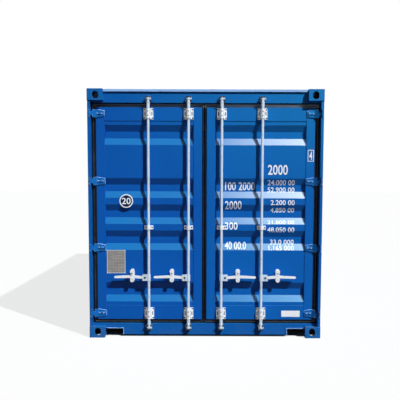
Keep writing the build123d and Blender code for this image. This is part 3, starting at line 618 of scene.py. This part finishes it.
def use_modifier(piece, kind, **settings):
    """Add a modifier and apply it."""
    bpy.context.view_layer.objects.active = piece
    modifier = piece.modifiers.new(kind.lower(), kind)
    for key, value in settings.items():
        setattr(modifier, key, value)
    bpy.ops.object.modifier_apply(modifier=modifier.name)


def finish(piece, material, body, smooth=35):
    """Close the edit, dress the piece and fasten it to its body."""
    if piece.mode == "EDIT":
        bpy.ops.object.mode_set(mode="OBJECT")
    clear_selection()
    piece.select_set(True)
    bpy.context.view_layer.objects.active = piece
    bpy.ops.object.shade_smooth_by_angle(angle=math.radians(smooth))
    piece.data.materials.clear()
    piece.data.materials.append(material)
    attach(piece, body)
    clear_selection()


seal_rubber, tree, shader = start_material("gasket_rubber", rough=0.40, gloss=0.22)
place = on_piece(tree)
worn = ranged(tree, noise(tree, place, Scale=9.0, Detail=6.0), start=0.4, end=0.75)
where = axes(tree, place)
# Dust and painted highlight along the top edge, strongest on the right.
sunlit_edge = ranged(tree, where["Z"], start=leaf_top_z, end=leaf_top_z + pale_edge_deep)
along = ranged(tree, where["X"], start=-1.1, end=1.1, give=(0.15, 1.0))
pale_edge = worked(tree, "MULTIPLY", sunlit_edge, along)
rubber_tone = mixed(tree, worn, rubber_black, rubber_worn)
tree.links.new(mixed(tree, pale_edge, rubber_tone, rubber_dust_and_highlight), shader.inputs["Base Color"])
relief(tree, shader, noise(tree, place, Scale=600.0), Strength=0.2, Distance=0.001)

for side in ("left", "right"):
    low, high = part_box(side + "_door_gasket")
    leaf_low, leaf_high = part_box(side + "_door_frame")
    clear_selection()
    bpy.ops.mesh.primitive_plane_add(size=1, rotation=(quarter_turn, 0, 0))
    seal = begin(side + "_door_seal")
    bpy.ops.mesh.delete(type="ONLY_FACE")
    bpy.ops.mesh.select_mode(type="VERT")
    bpy.ops.mesh.select_all(action="SELECT")
    for step, (out, forward) in enumerate(lip_shares):
        if step:
            bpy.ops.mesh.extrude_edges_move()
        shape = bmesh.from_edit_mesh(seal.data)
        near = leaf_low.lerp(low, out)
        far = leaf_high.lerp(high, out)
        ring = [vertex for vertex in shape.verts if vertex.select]
        middle = sum((vertex.co for vertex in ring), Vector()) / len(ring)
        for vertex in ring:
            vertex.co = Vector((near.x if vertex.co.x < middle.x else far.x,
                                high.y + (low.y - high.y) * forward,
                                near.z if vertex.co.z < middle.z else far.z))
        bmesh.update_edit_mesh(seal.data)
    bpy.ops.mesh.select_all(action="DESELECT")
    shape = bmesh.from_edit_mesh(seal.data)
    for edge in shape.edges:
        edge.select_set(len(edge.link_faces) == 1)
    bmesh.update_edit_mesh(seal.data)
    bpy.ops.mesh.select_mode(type="EDGE")
    bpy.ops.mesh.bridge_edge_loops()
    bpy.ops.mesh.select_all(action="SELECT")
    bpy.ops.mesh.normals_make_consistent(inside=False)
    bpy.ops.object.mode_set(mode="OBJECT")
    use_modifier(seal, "BEVEL", width=lip_round, segments=2, limit_method="ANGLE")
    finish(seal, seal_rubber, side + "_door")
    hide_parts(side + "_door_gasket")


# Hinges: forged blades welded to the stiles round their edge, each with two bolts, on pins in
# lugs that are welded to the posts. Their edges are pale as wear and painted highlight, and their welds and
# bolts are painted pale as painted highlight.
hinge_wear_and_highlight = (0.48, 0.66, 0.90, 1)
hinge_paint = sprayed_paint("hinge_paint", casting_blue, casting_faded, hinge_wear_and_highlight, rub=1.0, edge=0.010)
dress(["left_hinge_blades", "right_hinge_blades", "hinge_lugs"], hinge_paint)
highlight_blue = (0.25, 0.47, 0.86, 1)
highlight_pale = (0.33, 0.56, 0.92, 1)
highlight_worn = (0.60, 0.70, 0.82, 1)
# Pale paint used as a painted highlight on welds, bolt heads and lips.
highlight_paint = sprayed_paint("painted_highlight_paint", highlight_blue, highlight_pale, highlight_worn, rough=0.6, painted_light=False)


nearly_square = 0.9


def pick_faces(piece, test):
    """In edit mode, select only the faces whose middle and normal pass."""
    bpy.ops.mesh.select_mode(type="FACE")
    shape = bmesh.from_edit_mesh(piece.data)
    for face in shape.faces:
        face.select_set(test(face.calc_center_median(), face.normal))
    shape.select_flush_mode()
    bmesh.update_edit_mesh(piece.data)


def placed(middle, outward=Vector((0, -1, 0))):
    """Place of a piece modelled upright at the origin and set with its top looking outward."""
    return Matrix.Translation(middle) @ outward.to_track_quat("Z", "Y").to_matrix().to_4x4()


def joined(pieces, name):
    """Join pieces into one, with its place in its mesh."""
    bpy.context.view_layer.update()
    clear_selection()
    for piece in pieces:
        piece.select_set(True)
    bpy.context.view_layer.objects.active = pieces[0]
    if len(pieces) > 1:
        bpy.ops.object.join()
    bpy.ops.object.transform_apply(location=True, rotation=True, scale=True)
    return named(pieces[0], name)


def set_copies(pattern, places, name):
    """Copies of a piece at their places, each with its own mesh, then joined into one."""
    made = []
    for place in places:
        twin = pattern.copy()
        twin.data = pattern.data.copy()
        bpy.context.collection.objects.link(twin)
        twin.matrix_world = place
        made.append(twin)
    bpy.data.objects.remove(pattern)
    return joined(made, name)


weld_pitch = 0.0045
weld_radius = 0.0032
weld_taper = 0.78


def weld_ripple(radius):
    """One ripple of a weld bead, a short cone, from the origin upwards."""
    clear_selection()
    bpy.ops.mesh.primitive_cone_add(vertices=6, radius1=radius, radius2=radius * weld_taper,
                                    depth=weld_pitch, location=(0, 0, weld_pitch / 2))
    ripple = begin("ripple")
    bpy.ops.object.mode_set(mode="OBJECT")
    return ripple


def weld_runs(name, runs, material, body, radius=weld_radius):
    """Weld beads along straight runs, each a row of ripples, joined into one piece."""
    rows = []
    for start, end in runs:
        along = Vector(end) - Vector(start)
        ripple = weld_ripple(radius)
        use_modifier(ripple, "ARRAY", count=max(2, round(along.length / weld_pitch)),
                     use_relative_offset=False, use_constant_offset=True,
                     constant_offset_displace=(0, 0, weld_pitch))
        ripple.matrix_world = placed(Vector(start), along)
        rows.append(ripple)
    finish(joined(rows, name), material, body, smooth=60)


head_foot_share = 0.5
head_steps = ((0.16, 0.28), (0.34, 0.22))


def domed_head(radius, rise):
    """A round head that stands on the floor: a disc whose top is inset and lifted twice."""
    clear_selection()
    foot = rise * head_foot_share
    bpy.ops.mesh.primitive_cylinder_add(vertices=14, radius=radius, depth=foot, location=(0, 0, foot / 2))
    head = begin("head")
    pick_faces(head, lambda middle, normal: normal.z > nearly_square)
    for share_in, share_up in head_steps:
        bpy.ops.mesh.inset(thickness=radius * share_in)
        bpy.ops.transform.translate(value=(0, 0, rise * share_up))
    bpy.ops.object.mode_set(mode="OBJECT")
    return head


blade_reach = 0.088
blade_crank_x = 1.128
blade_tall = 0.086
blade_end_tall = 0.058
hinge_count = 4
rib_front = 0.013
bolt_from_tail = 0.028
bolt_from_crank = 0.012
bolt_radius = 0.0070
bolt_rise = 0.0035
for side, hand in (("left", -1), ("right", 1)):
    blade_low, blade_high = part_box(side + "_hinge_blades")
    leaf_low, leaf_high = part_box(side + "_door_frame")
    leaf_edge = max(abs(leaf_low.x), abs(leaf_high.x))
    first = blade_low.z + blade_tall / 2
    apart = (blade_high.z - blade_low.z - blade_tall) / (hinge_count - 1)
    tail = hand * (leaf_edge - blade_reach)
    crank = hand * blade_crank_x
    bolts = []
    runs = []
    for count in range(hinge_count):
        z = first + apart * count
        for x in (tail + hand * bolt_from_tail, crank - hand * bolt_from_crank):
            bolts.append(placed(Vector((x, leaf_low.y - rib_front, z))))
        low_tail = (tail, leaf_low.y, z - blade_end_tall / 2)
        high_tail = (tail, leaf_low.y, z + blade_end_tall / 2)
        runs.append((low_tail, high_tail))
        runs.append((low_tail, (crank, leaf_low.y, z - blade_tall / 2)))
        runs.append((high_tail, (crank, leaf_low.y, z + blade_tall / 2)))
    weld_runs(side + "_hinge_welds", runs, highlight_paint, side + "_door")
    bolted = set_copies(domed_head(bolt_radius, bolt_rise), bolts, side + "_hinge_bolts")
    finish(bolted, highlight_paint, side + "_door", smooth=50)


# Welds of the frame: short beads where the posts, header and sill meet the castings, painted
# over, and a thicker lip of weld round each cut-out in the sill, painted pale as a painted highlight.
casting_top_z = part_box("lower_corner_castings")[1].z
upper_foot_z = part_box("upper_corner_castings")[0].z
post_low, post_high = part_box("door_posts")
header_low, header_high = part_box("door_header")
sill_foot_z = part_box("door_sill")[0].z
header_back = 0.066
post_wide = 0.028
casting_side_x = frame_size[1].x - casting_wide
header_face_y = face_y + header_back
runs = []
for hand in (-1, 1):
    inner = hand * casting_side_x
    runs.append(((inner, header_face_y, upper_foot_z), (inner, header_face_y, header_high.z)))
    runs.append(((inner, header_face_y, sill_foot_z), (inner, header_face_y, casting_top_z)))
    post_inner = hand * (post_high.x - post_wide)
    post_outer = hand * post_high.x
    for height in (casting_top_z, upper_foot_z):
        runs.append(((post_inner, post_low.y, height), (post_outer, post_low.y, height)))
weld_runs("door_end_frame_welds", runs, frame_paint, "container")

recess_wide = 0.184
recess_tall = 0.062
recess_lip = 0.012
recess_bead_radius = 0.0045
lip_reach = 0.004
lip_face_y = face_y + header_back - lip_reach
lip_top_z = sill_foot_z + recess_tall + recess_lip / 2
runs = []
for hand in (-1, 1):
    casting_side = hand * casting_side_x
    lip_side = hand * (casting_side_x - recess_wide - recess_lip / 2)
    runs.append(((lip_side, lip_face_y, lip_top_z), (casting_side, lip_face_y, lip_top_z)))
    runs.append(((lip_side, lip_face_y, sill_foot_z), (lip_side, lip_face_y, lip_top_z)))
weld_runs("sill_recess_beads", runs, highlight_paint, "container", radius=recess_bead_radius)


# Welds of the leaves: upright beads where the stiles meet the top and low members, painted
# over with the leaf.
stile_wide = 0.088
low_member_tall = 0.148
top_member_tall = 0.140
for side in ("left", "right"):
    low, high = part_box(side + "_door_frame")
    runs = []
    for x in (low.x + stile_wide, high.x - stile_wide):
        runs.append(((x, low.y, low.z), (x, low.y, low.z + low_member_tall)))
        runs.append(((x, low.y, high.z - top_member_tall), (x, low.y, high.z)))
    weld_runs(side + "_door_frame_welds", runs, leaf_paint[side], side + "_door")


# Rain gutter: the thin folded lip on the visor over the doors, welded on between the upper
# castings, painted pale as a painted highlight.
gutter_low = 0.019
gutter_thick = 0.0014
gutter_bevel = 0.0004
gutter_size = Vector((2 * casting_side_x, gutter_thick, frame_size[1].z - header_high.z + gutter_low))
clear_selection()
bpy.ops.mesh.primitive_cube_add(size=1, location=(0, header_low.y - gutter_thick / 2,
                                                  frame_size[1].z - gutter_size.z / 2))
bpy.context.object.scale = gutter_size
gutter = begin("header_gutter_lip")
bpy.ops.mesh.bevel(offset=gutter_bevel, segments=1)
finish(gutter, highlight_paint, "container")


# Fasteners of the door gear: domed rivets through the brackets, plugs in their covers, a hex
# nut on each handle pin and a rivet head on each catch, all near black as painted shade.
fastener_shade_black = (0.006, 0.008, 0.014, 1)
fastener_shade_faded = (0.012, 0.014, 0.020, 1)
fastener_rubbed = (0.10, 0.11, 0.12, 1)
# Near black, painting the dark spots of shade at these holes and pins.
fastener_shade = sprayed_paint("fastener_shade", fastener_shade_black, fastener_shade_faded, fastener_rubbed, rub=0.4,
                              edge=0.001, painted_light=False)


def joint_place(name):
    """Where the axis of a joint passes, from the frame."""
    return Vector(next(joint["pos_m"] for joint in frame["joints"] if joint["name"] == name))


nut_across = 0.019
nut_tall = 0.005
nut_chamfer = 0.0006
pin_radius = 0.005
pin_rise = 0.002


def hex_nut():
    """A six-sided nut with softened corners and the end of its pin standing out."""
    clear_selection()
    bpy.ops.mesh.primitive_cylinder_add(vertices=6, radius=nut_across / math.sqrt(3), depth=nut_tall,
                                        location=(0, 0, nut_tall / 2))
    nut = begin("nut")
    pick_faces(nut, lambda middle, normal: normal.z > nearly_square)
    bpy.ops.mesh.bevel(offset=nut_chamfer, segments=1)
    bpy.ops.mesh.primitive_cylinder_add(vertices=12, radius=pin_radius, depth=pin_rise,
                                        location=(0, 0, nut_tall + pin_rise / 2))
    bpy.ops.object.mode_set(mode="OBJECT")
    return nut


bracket_wide = 0.099
bracket_plate = 0.006
top_bracket_tall = 0.113
low_bracket_tall = 0.123
guide_wide = 0.092
guide_clear = 0.01
guide_rivet_from_edge = 0.012
rivet_from_edge = 0.0085
rivet_from_end = 0.013
rivet_radius = 0.0075
rivet_rise = 0.004
cover_radius = 0.0225
plug_share = 0.30
plug_radius = 0.006
plug_rise = 0.002
catch_rivet_radius = 0.007
catch_rivet_rise = 0.0025
hub_back = 0.0095
catch_back = 0.0027
for side in ("left", "right"):
    gear_low, gear_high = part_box(side + "_bar_brackets")
    plate_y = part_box(side + "_door_frame")[0].y - bracket_plate
    low_bracket_top = gear_low.z + low_bracket_tall
    top_bracket_foot = gear_high.z - top_bracket_tall
    guide_heights = [vertex.co.z for vertex in nodes[side + "_bar_brackets"].data.vertices
                     if low_bracket_top < vertex.co.z - guide_clear < top_bracket_foot - 2 * guide_clear]
    guide_middle = (min(guide_heights) + max(guide_heights)) / 2
    rivets = []
    plugs = []
    pins = []
    for place_on_leaf in ("outer", "inner"):
        bar = side + "_" + place_on_leaf
        axis = joint_place(bar + "_locking_bar_turn")
        for foot, top in ((top_bracket_foot, gear_high.z), (gear_low.z, low_bracket_top)):
            for z in (foot + rivet_from_end, top - rivet_from_end):
                for hand in (-1, 1):
                    x = axis.x + hand * (bracket_wide / 2 - rivet_from_edge)
                    rivets.append(placed(Vector((x, plate_y, z))))
            for share in (plug_share, 1 - plug_share):
                plugs.append(placed(Vector((axis.x, axis.y - cover_radius, foot + (top - foot) * share))))
        for hand in (-1, 1):
            x = axis.x + hand * (guide_wide / 2 - guide_rivet_from_edge)
            rivets.append(placed(Vector((x, plate_y, guide_middle))))
        pin = joint_place(bar + "_handle_lift")
        nut = set_copies(hex_nut(), [placed(Vector((pin.x, face_y + hub_back, pin.z)))], bar + "_handle_nut")
        finish(nut, fastener_shade, bar + "_locking_bar", smooth=30)
        pivot = joint_place(bar + "_catch_turn")
        pins.append(placed(Vector((pivot.x, face_y + catch_back, pivot.z))))
    for name, radius, rise, places in (("_bracket_rivets", rivet_radius, rivet_rise, rivets),
                                       ("_cover_plugs", plug_radius, plug_rise, plugs),
                                       ("_catch_rivets", catch_rivet_radius, catch_rivet_rise, pins)):
        heads = set_copies(domed_head(radius, rise), places, side + name)
        finish(heads, fastener_shade, side + "_door", smooth=50)


# Floor screws: countersunk zinc heads in rows over the cross members, flush with the plywood.
# They hold the sheets down.
fastener_zinc = zinc("fastener_zinc", zinc_pale, zinc_grey, metal=0.6, rough=0.42, stain=0.9)
floor_low, floor_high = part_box("floor_boards")
screw_rows = 17
screws_across = 12
screw_from_side = 0.045
screw_radius = 0.006
screw_rise = 0.0008


def evenly(low, high, margin, count):
    """Places from one margin to the other, evenly apart."""
    return [low + margin + (high - low - 2 * margin) * number / (count - 1) for number in range(count)]


screws = [placed(Vector((x, y, floor_high.z)), Vector((0, 0, 1)))
          for y in evenly(floor_low.y, floor_high.y, screw_from_side, screw_rows)
          for x in evenly(floor_low.x, floor_high.x, screw_from_side, screws_across)]
screwed = set_copies(domed_head(screw_radius, screw_rise), screws, "floor_screws")
finish(screwed, fastener_zinc, "container", smooth=50)


# Markings on the right leaf: plain white numbers stencilled on the panel, following its folds,
# a boxed digit on the stile and a bare white sticker on the low member.
stencil_pale = (0.87, 0.91, 0.95, 1)
stencil_thin = (0.36, 0.50, 0.74, 1)
stencil_thin_share = 0.5
number_white, tree, shader = start_material("stencil_white", rough=0.5, gloss=0.2)
place = on_piece(tree)
thin = ranged(tree, noise(tree, place, Scale=45.0, Detail=5.0), start=0.60, end=0.80)
tree.links.new(mixed(tree, scaled(tree, thin, stencil_thin_share), stencil_pale, stencil_thin),
               shader.inputs["Base Color"])
relief(tree, shader, noise(tree, place, Scale=500.0), Strength=0.1, Distance=0.001)
film = 0.0005
film_share = 0.8
stroke_swell = 0.012


def flat_number(words, x0, x1, z0, z1, y):
    """Numbers as a flat mesh that looks at the doors' side, stretched to fill a rectangle."""
    clear_selection()
    bpy.ops.object.text_add()
    piece = bpy.context.object
    piece.data.body = words
    piece.data.resolution_u = 3
    piece.data.offset = stroke_swell
    bpy.ops.object.convert(target="MESH")
    piece = bpy.context.object
    wide, tall = piece.dimensions.x, piece.dimensions.y
    piece.scale = ((x1 - x0) / wide, (z1 - z0) / tall, 1)
    piece.rotation_euler = (quarter_turn, 0, 0)
    bpy.ops.object.transform_apply(location=True, rotation=True, scale=True)
    low_x = min(vertex.co.x for vertex in piece.data.vertices)
    low_z = min(vertex.co.z for vertex in piece.data.vertices)
    piece.location = (x0 - low_x, y, z0 - low_z)
    bpy.ops.object.transform_apply(location=True, rotation=True, scale=True)
    return piece


def flat_sheet(x0, x1, z0, z1, y, ring=0.0):
    """A rectangle that looks at the doors' side; with a ring width it is only a frame."""
    clear_selection()
    bpy.ops.mesh.primitive_plane_add(size=1, location=((x0 + x1) / 2, y, (z0 + z1) / 2),
                                     rotation=(quarter_turn, 0, 0))
    bpy.context.object.scale = (x1 - x0, z1 - z0, 1)
    sheet = begin("sheet")
    if ring:
        bpy.ops.mesh.inset(thickness=ring)
        bpy.ops.mesh.delete(type="FACE")
    bpy.ops.object.mode_set(mode="OBJECT")
    return sheet


def laid_on(pieces, target, name, material, body, folds=()):
    """Join flat pieces, cut them at the folds, press them on a surface and give them a thickness."""
    sheet = joined(pieces, name)
    bpy.ops.object.mode_set(mode="EDIT")
    for height in folds:
        bpy.ops.mesh.select_all(action="SELECT")
        bpy.ops.mesh.bisect(plane_co=(0, 0, height), plane_no=(0, 0, 1))
    bpy.ops.object.mode_set(mode="OBJECT")
    use_modifier(sheet, "SHRINKWRAP", target=target, wrap_method="PROJECT", use_project_y=True,
                 use_positive_direction=True, use_negative_direction=False, offset=film)
    use_modifier(sheet, "SOLIDIFY", thickness=film * film_share, offset=-1)
    finish(sheet, material, body, smooth=20)


right_panel = nodes["right_door_panel"]
right_frame = nodes["right_door_frame"]
fold_digits = 4
fold_heights = sorted({round(vertex.co.z, fold_digits) for vertex in right_panel.data.vertices})
before_leaf = 0.02
before_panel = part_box("right_door_frame")[0].y - before_leaf
weight_rows = (("2000", 0.652, 0.859, 1.717, 1.822),
               ("24.000 00", 0.652, 0.936, 1.608, 1.664), ("52.900 00", 0.652, 0.936, 1.534, 1.587),
               ("2.200 00", 0.684, 0.936, 1.401, 1.455), ("4.850 00", 0.684, 0.936, 1.323, 1.372),
               ("21.800 00", 0.652, 0.936, 1.201, 1.240), ("48.050 00", 0.652, 0.936, 1.115, 1.169),
               ("33.0 000", 0.684, 0.936, 0.983, 1.036), ("1.165 000", 0.668, 0.936, 0.925, 0.974),
               ("100 2000", 0.206, 0.519, 1.555, 1.641), ("2000", 0.206, 0.380, 1.355, 1.444),
               ("300", 0.206, 0.340, 1.142, 1.220), ("40 00.0", 0.206, 0.430, 0.934, 1.014))
rows = [flat_number(words, x0, x1, z0, z1, before_panel) for words, x0, x1, z0, z1 in weight_rows]
laid_on(rows, right_panel, "right_door_numbers", number_white, "right_door", fold_heights)

box_rect = (1.064, 1.127, 1.857, 1.977)
box_line = 0.006
box_margin = 0.016
boxed = [flat_sheet(*box_rect, before_panel, ring=box_line),
         flat_number("4", box_rect[0] + box_margin, box_rect[1] - box_margin,
                     box_rect[2] + box_margin, box_rect[3] - box_margin, before_panel)]
laid_on(boxed, right_frame, "right_door_boxed_digit", number_white, "right_door")
sticker_rect = (0.810, 1.005, 0.216, 0.282)
laid_on([flat_sheet(*sticker_rect, before_panel)], right_frame, "right_door_sticker", number_white,
        "right_door")


# Painted shade in the brackets: each has an upright slot on both sides of its cover, where a
# dark film on the paint of the leaf stands in for the shade in the slot.
slot_from_axis = 0.036
slot_half_wide = 0.0042
slot_half_tall = 0.0175
slot_shade_dark = (0.004, 0.006, 0.012, 1)
slot_shade_faded = (0.008, 0.012, 0.022, 1)
slot_shade_rubbed = (0.02, 0.03, 0.05, 1)
slot_shade = sprayed_paint("slot_shade", slot_shade_dark, slot_shade_faded, slot_shade_rubbed, rub=0.0, rough=0.6,
                           edge=0.001, painted_light=False)
for side in ("left", "right"):
    low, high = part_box(side + "_bar_brackets")
    films = []
    for place_on_leaf in ("outer", "inner"):
        axis_x = joint_place(side + "_" + place_on_leaf + "_locking_bar_turn").x
        for z in (low.z + low_bracket_tall / 2, high.z - top_bracket_tall / 2):
            for hand in (-1, 1):
                x = axis_x + hand * slot_from_axis
                films.append(flat_sheet(x - slot_half_wide, x + slot_half_wide,
                                        z - slot_half_tall, z + slot_half_tall, before_panel))
    laid_on(films, nodes[side + "_door_frame"], side + "_slot_shade", slot_shade, side + "_door")


# Data plate: a stamped sheet of aluminium with ruled, empty fields inside a raised rim, held
# to the left panel by a rivet at each corner.
field_pale = (0.29, 0.275, 0.26, 1)
field_dark = (0.20, 0.19, 0.18, 1)
field_line = (0.11, 0.105, 0.10, 1)
field_brushed = (0.42, 0.41, 0.40, 1)
field_brushed_share = 0.25
plate_metal, tree, shader = start_material("data_plate_metal", metal=0.3, rough=0.45)
place = on_piece(tree)
turned = add_node(tree, "ShaderNodeMapping", {"Vector": place, "Rotation": (quarter_turn, 0, 0)})
fields = add_node(tree, "ShaderNodeTexBrick", {
    "Vector": turned.outputs[0], "Scale": 1.0, "Color1": field_pale, "Color2": field_dark,
    "Mortar": field_line, "Mortar Size": 0.0022, "Brick Width": 0.058, "Row Height": 0.0165})
grain = noise(tree, stretched(tree, place, (8.0, 8.0, 400.0)), Scale=3.0, Detail=4.0)
tree.links.new(mixed(tree, scaled(tree, grain, field_brushed_share), fields.outputs["Color"], field_brushed),
               shader.inputs["Base Color"])
relief(tree, shader, fields.outputs["Fac"], Strength=0.5, Distance=0.0006).invert = True

rim_dark = (0.32, 0.34, 0.38, 1)
rim_pale = (0.46, 0.48, 0.52, 1)
plate_rim, tree, shader = start_material("data_plate_rim", metal=0.5, rough=0.4)
place = on_piece(tree)
tree.links.new(mixed(tree, noise(tree, place, Scale=60.0, Detail=4.0), rim_dark, rim_pale),
               shader.inputs["Base Color"])

left_panel_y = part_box("left_door_panel")[0].y
plate_x0, plate_x1, plate_z0, plate_z1 = (-1.038, -0.842, 0.676, 0.924)
plate_thick = 0.0012
plate_sunk_share = 0.3
plate_edge = 0.009
plate_rivet_radius = 0.0035
plate_rivet_rise = 0.0018
clear_selection()
bpy.ops.mesh.primitive_cube_add(size=1, location=((plate_x0 + plate_x1) / 2, left_panel_y - plate_thick / 2,
                                                  (plate_z0 + plate_z1) / 2))
bpy.context.object.scale = (plate_x1 - plate_x0, plate_thick, plate_z1 - plate_z0)
plate = begin("data_plate")
pick_faces(plate, lambda middle, normal: normal.y < -nearly_square)
bpy.ops.mesh.inset(thickness=plate_edge)
bpy.ops.transform.translate(value=(0, plate_thick * plate_sunk_share, 0))
bpy.ops.mesh.separate(type="SELECTED")
field = [piece for piece in bpy.context.selected_objects if piece != plate][0]
bpy.ops.object.mode_set(mode="OBJECT")
finish(plate, plate_rim, "left_door")
finish(named(field, "data_plate_field"), plate_metal, "left_door")
corners = [placed(Vector((x, left_panel_y - plate_thick, z)))
           for x in (plate_x0 + plate_edge / 2, plate_x1 - plate_edge / 2)
           for z in (plate_z0 + plate_edge / 2, plate_z1 - plate_edge / 2)]
riveted = set_copies(domed_head(plate_rivet_radius, plate_rivet_rise), corners, "data_plate_rivets")
finish(riveted, fastener_zinc, "left_door", smooth=50)


# Round plate on the left leaf: a thin white disc with a dark field and a plain number, glued
# to the panel.
disc_middle = Vector((-0.829, left_panel_y, 1.440))
disc_radius = 0.072
disc_field_share = 0.84
disc_thick = 0.0015
disc_bevel = film * 0.5
disc_number_half_wide = 0.046
disc_number_half_tall = 0.034
navy_dark = (0.004, 0.012, 0.05, 1)
navy_faded = (0.008, 0.02, 0.07, 1)
navy_rubbed = (0.10, 0.15, 0.25, 1)
disc_navy = sprayed_paint("disc_navy", navy_dark, navy_faded, navy_rubbed, rub=0.2, edge=0.001,
                          painted_light=False)
for name, radius, thick, disc_finish in (
        ("round_plate", disc_radius, disc_thick, number_white),
        ("round_plate_field", disc_radius * disc_field_share, disc_thick + film, disc_navy)):
    clear_selection()
    bpy.ops.mesh.primitive_cylinder_add(vertices=48, radius=radius, depth=thick)
    disc = begin(name)
    pick_faces(disc, lambda middle, normal: normal.z > nearly_square)
    bpy.ops.mesh.bevel(offset=disc_bevel, segments=1)
    bpy.ops.object.mode_set(mode="OBJECT")
    disc = set_copies(disc, [placed(disc_middle - Vector((0, thick / 2, 0)))], name)
    finish(disc, disc_finish, "left_door")
disc_number = flat_number("20", disc_middle.x - disc_number_half_wide, disc_middle.x + disc_number_half_wide,
                          disc_middle.z - disc_number_half_tall, disc_middle.z + disc_number_half_tall,
                          before_panel)
laid_on([disc_number], bpy.data.objects["round_plate_field"], "round_plate_number", number_white,
        "left_door")
